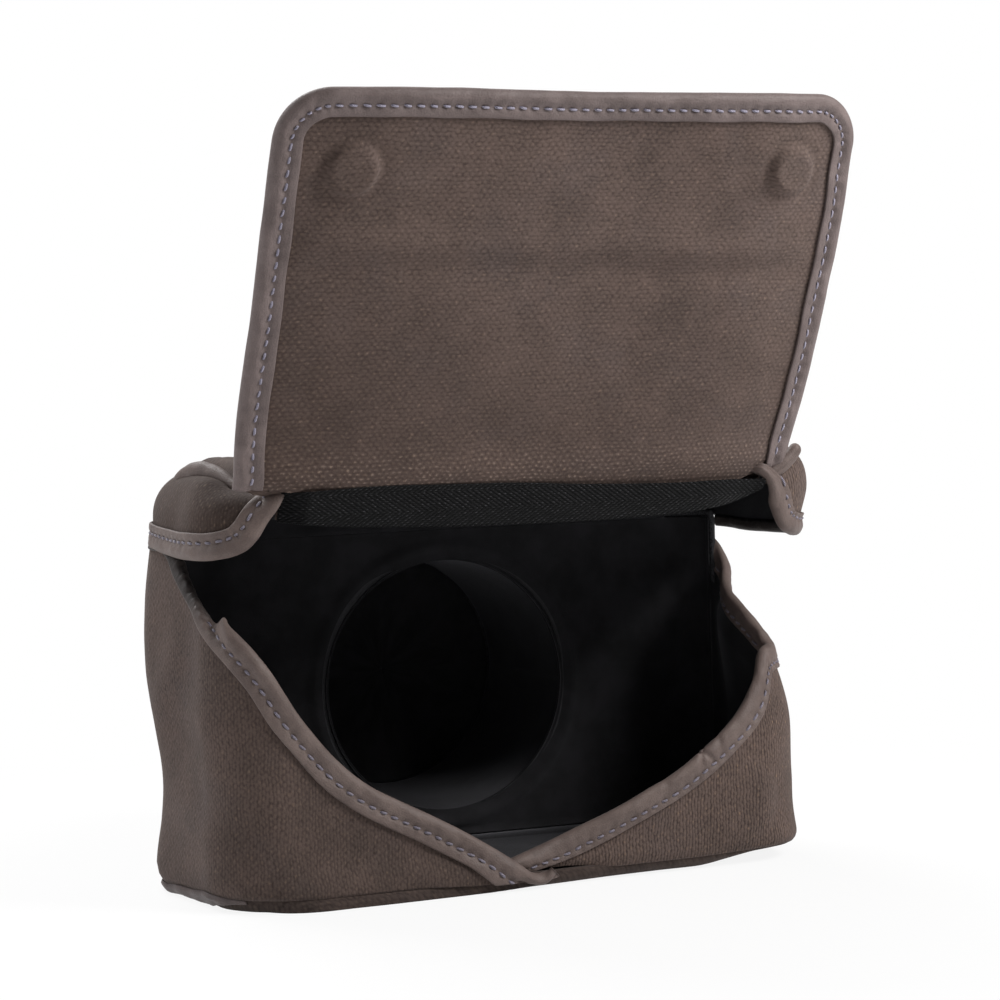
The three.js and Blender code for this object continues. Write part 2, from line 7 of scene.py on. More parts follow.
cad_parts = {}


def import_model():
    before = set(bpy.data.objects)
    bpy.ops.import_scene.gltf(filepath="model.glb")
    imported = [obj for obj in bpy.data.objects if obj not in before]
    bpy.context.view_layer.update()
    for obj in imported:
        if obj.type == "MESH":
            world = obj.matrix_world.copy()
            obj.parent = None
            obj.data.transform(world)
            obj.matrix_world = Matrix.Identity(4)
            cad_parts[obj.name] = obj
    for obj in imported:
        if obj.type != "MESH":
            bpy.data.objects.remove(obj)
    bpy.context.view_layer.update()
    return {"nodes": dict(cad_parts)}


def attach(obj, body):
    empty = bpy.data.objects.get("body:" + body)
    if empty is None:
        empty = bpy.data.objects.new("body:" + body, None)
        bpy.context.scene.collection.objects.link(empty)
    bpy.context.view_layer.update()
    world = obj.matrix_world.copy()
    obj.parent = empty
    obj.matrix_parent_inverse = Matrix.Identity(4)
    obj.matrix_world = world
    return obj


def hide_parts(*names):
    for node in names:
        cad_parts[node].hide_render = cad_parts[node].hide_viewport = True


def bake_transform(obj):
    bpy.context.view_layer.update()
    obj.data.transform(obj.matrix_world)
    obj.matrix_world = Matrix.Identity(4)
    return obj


# A padded canvas camera case with its back flap folded up and open.
# Lengths are in millimetres up to the point where a mesh is made, and metres from there on.
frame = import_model()

MM = 0.001
SIDES = ((-1, "left"), (1, "right"))

# The driving sizes of the part's source, but for two that are the cloth's own: the sewn flap has
# tighter corners than its solid (FLAP_CORNER), and its magnet bumps stand higher (BUMP_RISE).
BODY_WIDTH = 151.0
BODY_DEPTH = 55.6
BODY_HEIGHT = 97.0
CORNER = 15.5
BASE_RADIUS = 7.0
SHOULDER = 9.5
BASE_SEAM_Z = 3.0
FRONT_SEAM = BODY_HEIGHT - 16.5
HOOD_LIP = BODY_HEIGHT - 11.0
CANVAS = 0.8
FOAM = 1.4
LINING = 0.5
BOARD = 1.0
TAPE = 0.8
GAP = 0.3
BINDING = 7.0
EAR_TIP_AT = 60.9
STRAP_END_AT = 118.0
FOLD_Y = -31.4
FOLD_Z = 93.5
LEAN = math.radians(21.8)
FLAP_WIDTH = 140.0
FLAP_LENGTH = 93.0
FLAP_CORNER = 11.8
FLAP_STACK = 3.2
MAGNET_X = 52.5
MAGNET_UP = 75.0
MAGNET_RADIUS = 4.7
BUMP_RISE = 1.85
LENS_RADIUS = 34.0
LENS_TAPER = 1.5
LENS_REACH = 38.0
LENS_ROUND = 5.0
LENS_CROWN = 2.0
LENS_Z = 41.75

HALF_WIDTH = BODY_WIDTH / 2
HALF_DEPTH = BODY_DEPTH / 2
WALL = CANVAS + FOAM + LINING + 2 * GAP
BACK = HALF_WIDTH - CORNER
TURN = CORNER * math.pi / 2
SIDE = 2 * (HALF_DEPTH - CORNER)
HALF_ROUND = 2 * (BACK + TURN) + SIDE
SHOULDER_AT = BODY_HEIGHT - SHOULDER
SHOULDER_END = SHOULDER_AT + SHOULDER * math.pi / 2
BASE_SEAM = BASE_RADIUS * (1 - math.asin(1 - BASE_SEAM_Z / BASE_RADIUS))
FLAT_BASE = BASE_RADIUS * (1 - math.pi / 2)

# How deep each layer of a wall begins under the canvas' face, and its thickness
CANVAS_LAYER = (0.0, CANVAS)
FOAM_LAYER = (CANVAS + GAP, FOAM)
LINING_LAYER = (WALL - LINING, LINING)
# Cloths that meet at a seam end this far from its line
SEAM_GAP = 0.05


def smooth(low, high, x):
    t = np.clip((np.asarray(x, float) - low) / (high - low), 0, 1)
    return t * t * (3 - 2 * t)


def between(x, start, full, fading, end):
    """1 from full to fading, and 0 before start and past end."""
    return smooth(start, full, x) * (1 - smooth(fading, end, x))


def bell(x, centre, spread):
    return np.exp(-(((np.asarray(x, float) - centre) / spread) ** 2))


def stacked(*values):
    return np.stack(np.broadcast_arrays(*values), -1)


def through(x, knots):
    """A smooth line through (x, y) knots, level beyond its ends."""
    xs, ys = np.array(knots, float).T
    x = np.clip(x, xs[0], xs[-1])
    slope = np.gradient(ys, xs)
    i = np.clip(np.searchsorted(xs, x, side="right") - 1, 0, len(xs) - 2)
    span = xs[i + 1] - xs[i]
    t = (x - xs[i]) / span
    return (
        ys[i] * (1 + 2 * t) * (1 - t) ** 2
        + slope[i] * span * t * (1 - t) ** 2
        + ys[i + 1] * t * t * (3 - 2 * t)
        + slope[i + 1] * span * t * t * (t - 1)
    )


def ripple(u, v, scale, seed, count=9):
    """A soft, repeatable unevenness of the cloth, between about -1 and 1."""
    r = np.random.default_rng(seed)
    total = 0
    for _ in range(count):
        angle, phase, size = r.uniform(0, 2 * np.pi, 2).tolist() + [r.uniform(0.7, 1.6)]
        wave = 2 * np.pi / (scale * size)
        total = total + np.sin(wave * (u * math.cos(angle) + v * math.sin(angle)) + phase)
    return total / math.sqrt(count)


# The soft shape of the wings: how far each stands out of its solid by height, and where that starts
# and ends round the wall. Below, in each dictionary, -1 is the left side and 1 the right.
RIGHT_LEAN = (
    (-4, 0), (2, -0.6), (8, -1.7), (20, -2.0), (33, -2.8), (42, -4.8), (50, -6.8), (58, -8.0), (66, -8.9),
    (80, -9.0)
)
LEFT_BULGE = (
    (-4, 1.5), (0, 2.2), (5, 2.6), (11, 2.0), (18, 1.0), (23, 0.3), (30, 0.4), (38, 1.3), (45, 2.8),
    (50, 3.6), (58, 3.8), (67, 3.2), (77, 2.0), (84, 1.2)
)
WING_SWELL = {-1: (LEFT_BULGE, (84, 112, 122, 150)), 1: (RIGHT_LEAN, (30, 68, 98, 121))}
# Each soft fold: its start, its end, its width and how far it stands out
WING_FOLDS = {
    -1: (
        ((92, 62), (112, 36), 5, 0.9),
        ((46, 20), (90, 48), 7, 0.6),
        ((60, 14), (104, 30), 6, -0.7),
    ),
    1: (((40, 14), (84, 44), 6, 0.5),),
}
WING_SEEDS = {-1: (5, 6), 1: (11, 12)}
WING_MAGNET = (MAGNET_X, 15.5)


def ridge(d, h, start, end, width, amount):
    """A soft fold along a line from start to end, fading at both."""
    a, b = np.array(start, float), np.array(end, float)
    run = b - a
    t = ((d - a[0]) * run[0] + (h - a[1]) * run[1]) / (run @ run)
    off = ((d - a[0]) * run[1] - (h - a[1]) * run[0]) / math.hypot(*run)
    return amount * bell(off, 0, width) * between(t, -0.15, 0.25, 0.7, 1.15)


# How far the foot of each wing stands out, the height of that and its spread, and where it is
FOOT_TUCK = {-1: (0.8, -1.5, 3.6, (0, 18, 84, 104)), 1: (-3.2, -2.3, 4.0, (42, 66, 126, 150))}


def foot_tuck(side, d, h):
    """The foot of the right wing is drawn in, and that of the left one stands out a little."""
    amount, height, spread, span = FOOT_TUCK[side]
    return amount * bell(h, height, spread) * between(d, *span)


def wall_swell(side, d, h):
    knots, span = WING_SWELL[side]
    out = through(h, knots) * between(d, *span)
    for start, end, width, amount in WING_FOLDS[side]:
        out = out + ridge(d, h, start, end, width, amount)
    wide, narrow = WING_SEEDS[side]
    loose = 0.28 * ripple(d, h, 34, wide) + 0.1 * ripple(d, h, 15, narrow)
    flat = smooth(6, 13, np.hypot(d - WING_MAGNET[0], h - WING_MAGNET[1]))
    seam = 0.5 * bell(d, STRAP_END_AT, 0.9) * smooth(1, 5, h)
    return flat * (out + loose * smooth(2, 14, h) * smooth(-12, 20, d)) + foot_tuck(side, d, h) - seam


FOOT_SPREAD = ((-66, 1.5), (-58, 5.5), (-44, 5.9), (-20, 4.7), (5, 2.9), (20, 1.0), (34, 0.0))


def foot_spread(side, d, h):
    """The back's lower edge is pushed outwards over the floor."""
    most = through(side * d, FOOT_SPREAD) * (1 - smooth(60, 76, d))
    return most * (0.55 * (1 - smooth(1, 12, h)) + 0.6 * (1 - smooth(-3.5, 3.5, h)))


# The hood's ends: how far they stand up, and how far up the wall that starts and is full
HOOD_PUFF = {-1: 3.2, 1: 2.4}
HOOD_RISES = {-1: 98.5, 1: 93}
HOOD_FULL = 106


def hood_puff(side, d, h):
    """The hood stands up behind the ears."""
    share = 1 - (1 - smooth(72, 90, d)) * (1 - smooth(103, 108, h))
    return HOOD_PUFF[side] * smooth(HOOD_RISES[side], HOOD_FULL, h) * share


# How far the ears stand out of their solids by height, and how far their tips do
EAR_FULL = {
    -1: ((76, 1.4), (82, 1.8), (88, 1.6), (94, 1.2), (100, 0.6), (104, 0.2), (108, 0)),
    1: ((77, -0.3), (80, 0.1), (83, 0.9), (86, 1.8), (90, 2.8), (94, 3.7), (98, 3.4), (103, 0.8), (107, 0)),
}
EAR_SEED = {-1: 32, 1: 31}
EAR_TIP_RISE = {-1: 3.2, 1: 4.2}


def left_ear_sunk(d, h):
    """The left ear's hollows behind its tip and under the hood, with a low crown and a dent."""
    behind = 3.2 * bell(h, 98, 5.5) * between(d, 54, 64, 72, 88) * (1 - smooth(103, 107, h))
    under = 3.2 * bell(h, 102, 2.7) * between(d, 69, 79, 98, 114)
    crown = 0.7 * bell(h, 96.0, 3.2) * between(d, 74, 86, 98, 112)
    dent = 0.5 * bell(d, 70, 8) * bell(h, 90, 4)
    return behind + under - crown + dent


def ear_swell(side, d, h):
    turn = between(d, 58, 76, 104, 124)
    full = through(h, EAR_FULL[side]) * turn
    sunk = left_ear_sunk(d, h) if side < 0 else 0.0
    small = 0.12 * ripple(d, h, 13, EAR_SEED[side]) * turn * (1 - smooth(103, 107, h))
    tip = EAR_TIP_RISE[side] * bell(d, 58.5, 4.5) * between(h, 85, 91, 96, 100)
    return full - sunk + small + tip + hood_puff(side, d, h)


def front_swell(u, h):
    """The front wall's belly round the barrel; u is measured from the middle of the front."""
    out = 1.1 * bell(u, 0, 60) * between(h, 0, 25, 66, 82)
    return out + 0.22 * ripple(u, h, 30, 41) * between(h, 2, 14, 70, 80)


def side_swell(side, d, h):
    """Wings up to the front corner, and the front wall beyond it."""
    share = smooth(118, 142, d)
    u = side * (HALF_ROUND - np.asarray(d, float))
    return wall_swell(side, d, h) * (1 - share) + front_swell(u, h) * share


def plan(d):
    """Place and outward direction on the body's outline, by the distance round it."""
    d = np.asarray(d, float)
    mirrored = d > HALF_ROUND
    e = np.where(mirrored, 2 * HALF_ROUND - d, d)
    first = np.clip((e - BACK) / CORNER, 0, np.pi / 2)
    run = np.clip(e - BACK - TURN, 0, SIDE)
    second = np.clip((e - BACK - TURN - SIDE) / CORNER, 0, np.pi / 2)
    nx, ny = np.sin(first + second), -np.cos(first + second)
    x = np.minimum(e, BACK) - np.clip(e - (HALF_ROUND - BACK), 0, BACK) + CORNER * nx
    y = -(HALF_DEPTH - CORNER) + run + CORNER * ny
    sign = np.where(mirrored, -1, 1)
    return sign * x, y, sign * nx, ny


def section(h):
    """Inset, height and outward direction on the walls' section, by the distance up it."""
    h = np.asarray(h, float)
    low = np.clip((BASE_RADIUS - h) / BASE_RADIUS, 0, np.pi / 2)
    high = np.clip((h - SHOULDER_AT) / SHOULDER, 0, np.pi / 2)
    inset = BASE_RADIUS * (1 - np.cos(low)) + SHOULDER * (1 - np.cos(high))
    inset = inset + np.clip(FLAT_BASE - h, 0, None) + np.clip(h - SHOULDER_END, 0, None)
    foot = np.maximum(h, BASE_RADIUS) - BASE_RADIUS * np.sin(low)
    z = np.where(h < SHOULDER_AT, foot, SHOULDER_AT + SHOULDER * np.sin(high))
    return inset, z, np.cos(low) * np.cos(high), np.sin(high) - np.sin(low)


FLOOR_GAP = 0.05


def wall(d, h, depth, side=1, swell=side_swell):
    """Points of the wall by distance round, distance up and depth under the canvas' face."""
    x, y, nx, ny = plan(d)
    inset, z, out, up = section(h)
    depth = depth - swell(side, d, h)
    reach = inset + depth * out
    d = np.asarray(d, float)
    beyond = d > HALF_ROUND
    reach = reach - foot_spread(np.where(beyond, -side, side), np.where(beyond, 2 * HALF_ROUND - d, d), h)
    point = stacked(side * (x - reach * nx), y - reach * ny, z - depth * up)
    point[..., 2] = np.maximum(point[..., 2], FLOOR_GAP)
    return point


# How far the flap's right and left ends lie to the left of their solid, by the height over the fold
FLAP_RIGHT = (
    (-4, 4.8), (0, 4.2), (3, 3.7), (8, 3.0), (12, 2.2), (17, 1.5), (27, 0.5), (41, -0.2), (62, -0.7),
    (80, -0.2), (93, 0.1)
)
FLAP_LEFT = ((-4, 1.9), (8, 1.8), (27, 1.6), (41, 1.1), (80, 0.5), (93, 0.3))


def flap_bow(x, z):
    """The flap isn't quite flat: its ends turn back, and it has a shallow crease across."""
    back = 4.6 * smooth(42, 86, -x) + 7.4 * smooth(42, 84, x)
    line = 52.6 + 2.6 * smooth(-60, 60, -x)
    crease = 0.95 * bell(z, line - 2.6, 3.6) - 0.85 * bell(z, line + 2.8, 3.8)
    edge = 1 - smooth(54, 66, np.abs(x))
    wave = 0.35 * ripple(x, z, 46, 21) + 0.1 * ripple(x, z, 16, 22)
    foot = -0.9 * bell(z, 4.0, 3.6) * (1 - smooth(58, 68, np.abs(x)))
    return back, crease * edge * (0.75 + 0.25 * ripple(x, 0, 40, 23)) + wave * smooth(0, 8, z) + foot


def flap_point(x, z, depth):
    """A point of the open flap: across, up from the fold, and depth from the inner canvas' face."""
    x, z, depth = np.broadcast_arrays(np.asarray(x, float), z, depth)
    back, deep = flap_bow(x, z)
    y = depth - CANVAS / 2 + deep
    shift = through(z, FLAP_RIGHT) * smooth(20, 70, x) + through(z, FLAP_LEFT) * smooth(20, 70, -x)
    x = x - 0.6 * smooth(0, 16, z) - shift
    z = z - 0.8 * smooth(-45, 5, x) * smooth(60, 93, z)
    return stacked(
        x,
        FOLD_Y + y * math.cos(LEAN) - z * math.sin(LEAN) + back,
        FOLD_Z + y * math.sin(LEAN) + z * math.cos(LEAN),
    )


def tucked(x):
    """How far the fold's ends turn in behind the tips of the ears."""
    return 2.2 * smooth(44, 58, x) + 4.2 * smooth(-55, -60.5, x)


# Meshes
# The weave of a sheet's other face is drawn from elsewhere in the pattern
OTHER_FACE = np.array([3.7, 5.3, 0])
# How finely sheets and lines are divided: counts of rows and columns, and lengths of steps
WALL_ROWS = 44
WING_COLUMN = 1.15
EAR_COLUMNS = 84
HOOD_COLUMNS = 110
ROUND_COLUMNS = 420
LINE_STEP = 0.5
EDGE_STEP = 0.3


def make(name, points, faces, cloth, look, body="case", bend=False):
    """A piece with its look's material, which rides its body unless bend is set. One named as a solid takes
    its place.
    """
    solid = name in frame["nodes"]
    mesh = bpy.data.meshes.new(name + "_soft" if solid else name)
    mesh.from_pydata((np.asarray(points, float).reshape(-1, 3) * MM).tolist(), [], faces)
    mesh.update()
    attribute = mesh.attributes.new("cloth", "FLOAT_VECTOR", "POINT")
    attribute.data.foreach_set("vector", np.asarray(cloth, np.float32).reshape(-1))
    mesh.polygons.foreach_set("use_smooth", np.ones(len(mesh.polygons), bool))
    made = bpy.data.objects.new(mesh.name, mesh)
    bpy.context.scene.collection.objects.link(made)
    mesh.materials.append(look.material)
    if bend:
        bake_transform(made)
    else:
        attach(made, body)
    if solid:
        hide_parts(name)
    return made


def grid_faces(rows, columns, start=0, turned=False, closed=False):
    faces = []
    for i in range(rows - 1):
        for j in range(columns if closed else columns - 1):
            k = (j + 1) % columns
            a, b = start + i * columns + j, start + i * columns + k
            c, e = start + (i + 1) * columns + k, start + (i + 1) * columns + j
            faces.append((a, e, c, b) if turned else (a, b, c, e))
    return faces


def tube_faces(rings, size):
    """The faces of a closed tube of rings, with a flat cap at each end."""
    faces = grid_faces(rings, size, closed=True)
    last = (rings - 1) * size
    return faces + [tuple(range(size)), tuple(reversed(range(last, last + size)))]


def shell_faces(rows, columns, closed=False, turned=False):
    """Two grids of one size, the outer first, joined along their edges."""
    size = rows * columns
    faces = grid_faces(rows, columns, 0, turned, closed)
    faces += grid_faces(rows, columns, size, not turned, closed)
    edges = [(j, (j + 1) % columns) for j in range(columns if closed else columns - 1)]
    last = (rows - 1) * columns
    edges += [(last + k, last + j) for j, k in edges]
    if not closed:
        for a in range(0, last, columns):
            edges += [(a + columns, a), (a + columns - 1, a + 2 * columns - 1)]
    rim = [(a, b, b + size, a + size) for a, b in edges]
    if not turned:
        rim = [face[::-1] for face in rim]
    return faces + rim


def shell(name, outer, inner, u, v, look, closed=False, turned=False, **more):
    """A sheet with thickness from two grids of points, with its cloth coordinates."""
    rows, columns = outer.shape[:2]
    cloth = stacked(u, v, np.zeros((rows, columns)))
    faces = shell_faces(rows, columns, closed, turned)
    return make(name, [outer, inner], faces, [cloth, cloth + OTHER_FACE], look, **more)


def lengths(line):
    return np.concatenate([[0], np.cumsum(np.linalg.norm(np.diff(line, axis=0), axis=1))])


def resampled(line, step):
    line = np.asarray(line, float)
    along = lengths(line)
    count = max(2, int(round(along[-1] / step)) + 1)
    at = np.linspace(0, along[-1], count)
    return np.stack([np.interp(at, along, line[:, i]) for i in range(line.shape[1])], -1)


def rounded_line(knots, step):
    """A smooth curve through knots, as evenly spaced points."""
    knots = np.asarray(knots, float)
    t = lengths(knots)
    fine = np.linspace(0, t[-1], 40 * len(knots))
    columns = [through(fine, np.stack([t, column], -1)) for column in knots.T]
    return resampled(np.stack(columns, -1), step)


def inward(line, wall_is):
    """Directions square to a drawn line, to its right for -1 and its left for 1."""
    run = np.gradient(line, axis=0)
    run /= np.linalg.norm(run, axis=1)[:, None]
    return wall_is * np.stack([-run[:, 1], run[:, 0]], -1)


# Materials
class Look:
    """A node material with a Principled shader, its slot, and short ways to add to it."""

    def __init__(self, name, slot=None, **sockets):
        self.slot = slot
        self.material = bpy.data.materials.new(name)
        self.material.use_nodes = True
        self.tree = self.material.node_tree
        self.tree.nodes.clear()
        self.shader = self.node("ShaderNodeBsdfPrincipled")
        self.out = self.node("ShaderNodeOutputMaterial")
        self.join(self.shader.outputs[0], self.out.inputs["Surface"])
        for key, value in sockets.items():
            self.shader.inputs[key.replace("_", " ")].default_value = value
        self.cloth = self.node("ShaderNodeAttribute", attribute_name="cloth").outputs["Vector"]

    def node(self, kind, **settings):
        made = self.tree.nodes.new(kind)
        for key, value in settings.items():
            setattr(made, key, value)
        return made

    def join(self, source, socket):
        if isinstance(source, bpy.types.NodeSocket):
            self.tree.links.new(source, socket)
        else:
            socket.default_value = source

    def fed(self, kind, values, **settings):
        """A node of this kind with its inputs joined to the values in their order."""
        made = self.node(kind, **settings)
        for value, socket in zip(values, made.inputs):
            self.join(value, socket)
        return made.outputs

    def math(self, operation, *values):
        return self.fed("ShaderNodeMath", values, operation=operation)[0]

    def vector(self, operation, *values):
        return self.fed("ShaderNodeVectorMath", values, operation=operation)[0]

    def split(self, vector):
        return self.fed("ShaderNodeSeparateXYZ", [vector])

    def added(self, base, source, weight):
        """The base, moved by a noise about its middle."""
        return self.math("MULTIPLY_ADD", self.math("SUBTRACT", source, 0.5), weight, base)

    def wave(self, value, period):
        return self.math("SINE", self.math("MULTIPLY", value, 2 * math.pi / period))

    def ribs(self, value, period):
        """A wave between 0 and 1."""
        return self.math("MULTIPLY_ADD", self.wave(value, period), 0.5, 0.5)

    def noise(self, scale, detail=2.0, roughness=0.5, moved=None, stretch=None, at=None):
        at = self.cloth if at is None else at
        if moved:
            at = self.vector("ADD", at, (*moved, 0.0))
        if stretch:
            at = self.vector("MULTIPLY", at, stretch)
        made = self.node("ShaderNodeTexNoise")
        for key, value in (("Vector", at), ("Scale", scale), ("Detail", detail), ("Roughness", roughness)):
            self.join(value, made.inputs[key])
        return made.outputs["Fac"]

    def cells(self, feature, scale):
        made = self.node("ShaderNodeTexVoronoi", feature=feature)
        self.join(self.cloth, made.inputs["Vector"])
        self.join(scale, made.inputs["Scale"])
        return made

    def remap(self, value, low, high, to_low=0.0, to_high=1.0):
        values = (value, low, high, to_low, to_high)
        return self.fed("ShaderNodeMapRange", values, interpolation_type="SMOOTHSTEP")[0]

    def mix(self, factor, first, second, blend="MIX"):
        made = self.node("ShaderNodeMix", data_type="RGBA", blend_type=blend)
        self.join(factor, made.inputs[0])
        self.join(first, made.inputs[6])
        self.join(second, made.inputs[7])
        return made.outputs[2]

    def bump(self, height, distance, strength=1.0, under=None):
        made = self.node("ShaderNodeBump")
        made.inputs["Distance"].default_value = distance * MM
        made.inputs["Strength"].default_value = strength
        self.join(height, made.inputs["Height"])
        if under is not None:
            self.join(under, made.inputs["Normal"])
        return made.outputs["Normal"]

    def finish(self, colour, roughness, normal):
        self.join(colour, self.shader.inputs["Base Color"])
        self.join(roughness, self.shader.inputs["Roughness"])
        self.join(normal, self.shader.inputs["Normal"])
        return self


def linear(red, green, blue):
    def one(c):
        c /= 255
        return c / 12.92 if c <= 0.04045 else ((c + 0.055) / 1.055) ** 2.4

    return (one(red), one(green), one(blue), 1.0)


def woven(look, across, up, dots, ribs):
    """The height of a plain weave, from about 0 in its holes to 1 on the crowns of its threads."""
    x, y, _ = look.split(look.cloth)
    for scale, moved, weight in ((0.14, None, 1.8), (0.9, None, 0.7)):
        x = look.added(x, look.noise(scale, moved=moved), weight)
    for scale, moved, weight in ((0.14, (31.0, 17.0), 1.8), (0.9, (13.0, 7.0), 0.5)):
        y = look.added(y, look.noise(scale, moved=moved), weight)
    rows = look.math("COSINE", look.math("MULTIPLY", y, 2 * math.pi / up))
    dotted = look.math("MULTIPLY", look.wave(x, 2 * across), look.wave(y, 2 * up))
    height = look.math("MULTIPLY_ADD", dotted, dots, 0.5)
    height = look.math("MULTIPLY_ADD", rows, -ribs, height)
    crumbs = look.noise(1.15, 3.0, 0.7)
    slubs = look.noise(0.85, 3.0, 0.65, stretch=(0.45, 1.7, 1.0))
    return look.added(look.added(height, crumbs, 1.1), slubs, 0.7), crumbs


def canvas_look(
    name, tone=1.0, across=0.78, up=0.98, dots=0.2, ribs=0.12, warm=0.35, lit_crowns=0.0, deep=0.6, shaded=None
):
    """Plain woven canvas with a mottled dye and a few tan threads, with painted shade in the weave's holes,
    a painted highlight on its crowns that is stronger near the fold where asked, and painted shade over
    whole areas where asked.
    """

    def shade(red, green, blue):
        return tuple(c * tone for c in linear(red, green, blue)[:3]) + (1.0,)

    look = Look(name, "canvas", Specular_IOR_Level=0.2, Sheen_Weight=0.08, Sheen_Roughness=0.6)
    look.shader.inputs["Sheen Tint"].default_value = (0.8, 0.72, 0.7, 1)
    height, crumbs = woven(look, across, up, dots, ribs)
    mottle = look.noise(0.085, 5.0, 0.65)
    wide = look.noise(0.024, 3.0, 0.55, moved=(90.0, 40.0))
    cool = look.noise(0.05, 4.0, 0.6, moved=(7.0, 81.0))
    specks = look.noise(0.8, 3.0, 0.7, moved=(50.0, 11.0))
    base = look.mix(look.remap(mottle, 0.24, 0.76), shade(78, 66, 61), shade(96, 81, 75))
    base = look.mix(look.remap(wide, 0.4, 0.7, 0.0, 0.3), base, shade(104, 88, 81))
    base = look.mix(look.remap(cool, 0.45, 0.75, 0.0, 0.3), base, shade(82, 74, 74))
    # Painted shade: the weave's holes are darkened by the deep factor, and its crowns lifted a little.
    painted_hole_shade = look.mix(look.remap(height, 0.08, 0.66), (deep, deep - 0.02, deep - 0.02, 1), (1.1, 1.1, 1.1, 1))
    colour = look.mix(1.0, base, painted_hole_shade, "MULTIPLY")
    aside, along, _ = look.split(look.cloth)
    # Painted shade: where the shaded function asks, the colour is darkened towards a dark brown.
    if shaded:
        colour = look.mix(shaded(look, aside, along), colour, shade(56, 43, 37))
    # Painted highlight: the threads' crowns are lightened where the specks say, and more near the fold.
    fold_lit_crowns = look.math("SUBTRACT", lit_crowns, look.remap(along, 1.0, 13.0, 0.0, lit_crowns))
    crown_highlight = look.math("ADD", look.remap(specks, 0.42, 0.7, 0.02, 0.34), fold_lit_crowns)
    crown_highlight = look.math("MULTIPLY", look.remap(height, 0.6, 1.0), crown_highlight)
    colour = look.mix(crown_highlight, colour, shade(150, 132, 120))
    tan = look.math("MULTIPLY", look.remap(specks, 0.5, 0.75, 0.0, warm), look.remap(height, 0.4, 0.8))
    colour = look.mix(tan, colour, shade(124, 101, 82))
    return look.finish(colour, look.remap(crumbs, 0.3, 0.7, 0.95, 0.8), look.bump(height, 0.16, 0.5))


def leather_look(name, dark, light):
    """Fine-grained leather, with painted shade that darkens it towards black where the cloth attribute's
    third number says so.
    """
    look = Look(name, "leather", Specular_IOR_Level=0.36, Sheen_Weight=0.05)
    cells = look.cells("SMOOTH_F1", 2.6)
    look.join(0.5, cells.inputs["Smoothness"])
    pebble = cells.outputs["Distance"]
    grain = look.noise(3.2, 3.0, 0.65)
    rub = look.noise(0.12, 4.0, 0.6)
    stretch = look.noise(0.5, 3.0, 0.6, stretch=(0.4, 1.6, 1.0))
    base = look.mix(look.remap(rub, 0.3, 0.72), dark, light)
    base = look.mix(look.remap(stretch, 0.5, 0.8, 0.0, 0.35), base, light)
    seams = look.remap(pebble, 0.0, 0.32, 0.74, 1.02)
    pores = look.math("MULTIPLY", seams, look.remap(grain, 0.3, 0.7, 0.84, 1.1))
    pores = look.fed("ShaderNodeCombineXYZ", (pores, pores, pores))[0]
    _, _, dim = look.split(look.cloth)
    # Painted shade: the leather is darkened towards black by the cloth's third number.
    colour = look.mix(dim, look.mix(1.0, base, pores, "MULTIPLY"), (0.006, 0.005, 0.005, 1))
    height = look.math("ADD", look.math("MULTIPLY", pebble, 0.7), look.math("MULTIPLY", grain, 0.5))
    wrinkles = look.bump(stretch, 0.4, 0.4)
    return look.finish(colour, look.remap(grain, 0.3, 0.7, 0.5, 0.7), look.bump(height, 0.14, 0.6, wrinkles))


def lining_look(name):
    look = Look(name, "lining", Specular_IOR_Level=0.2, Sheen_Weight=0.25, Sheen_Roughness=0.45)
    look.shader.inputs["Sheen Tint"].default_value = (0.5, 0.5, 0.55, 1)
    nap = look.noise(2.6, 4.0, 0.7)
    lie = look.noise(0.09, 3.0, 0.6)
    colour = look.mix(look.remap(lie, 0.3, 0.7), (0.0085, 0.0085, 0.0095, 1), (0.017, 0.0165, 0.019, 1))
    colour = look.mix(look.remap(nap, 0.55, 0.85, 0.0, 0.5), colour, (0.03, 0.03, 0.034, 1))
    return look.finish(colour, look.remap(nap, 0.3, 0.7, 0.82, 0.98), look.bump(nap, 0.18, 0.6))


def foam_look(name):
    look = Look(name, "foam", Specular_IOR_Level=0.15)
    cells = look.cells("F1", 2.0).outputs["Distance"]
    colour = look.mix(look.remap(cells, 0.1, 0.7), (0.02, 0.02, 0.022, 1), (0.055, 0.055, 0.06, 1))
    return look.finish(colour, look.remap(cells, 0, 0.6, 0.98, 0.86), look.bump(cells, 0.2, 0.6))


def tape_look(name):
    """Black herringbone twill: ribs on a slant that turns back in every row."""
    look = Look(name, "tape", Specular_IOR_Level=0.22, Sheen_Weight=0.02)
    x, y, _ = look.split(look.cloth)
    row = look.math("PINGPONG", y, 4.3)
    rib = look.ribs(look.math("ADD", x, look.math("MULTIPLY", row, 1.55)), 1.4)
    broken = look.noise(1.5, 3.0, 0.6)
    height = look.math("MULTIPLY", rib, look.remap(look.ribs(y, 0.5), 0.0, 1.0, 0.4, 1.0))
    # Painted highlight: the ribs' crowns are lighter where they are not broken.
    lit_crowns = look.math("MULTIPLY", height, look.remap(broken, 0.35, 0.7, 0.1, 1.0))
    colour = look.mix(look.remap(lit_crowns, 0.3, 0.95), (0.0012, 0.0012, 0.0016, 1), (0.036, 0.035, 0.04, 1))
    return look.finish(colour, look.remap(lit_crowns, 0, 1, 0.9, 0.5), look.bump(height, 0.35, 0.9))


def thread_look(name, low, high):
    """Twisted thread, whose slot is that of the leather that it sews."""
    look = Look(name, "leather", Specular_IOR_Level=0.5, Sheen_Weight=0.2)
    x, y, _ = look.split(look.cloth)
    ply = look.ribs(look.math("ADD", x, look.math("MULTIPLY", y, 1.4)), 0.5)
    # Painted highlight: each ply's crown takes the lighter colour.
    colour = look.mix(ply, low, high)
    return look.finish(colour, look.remap(ply, 0, 1, 0.6, 0.42), look.bump(ply, 0.08, 0.7))


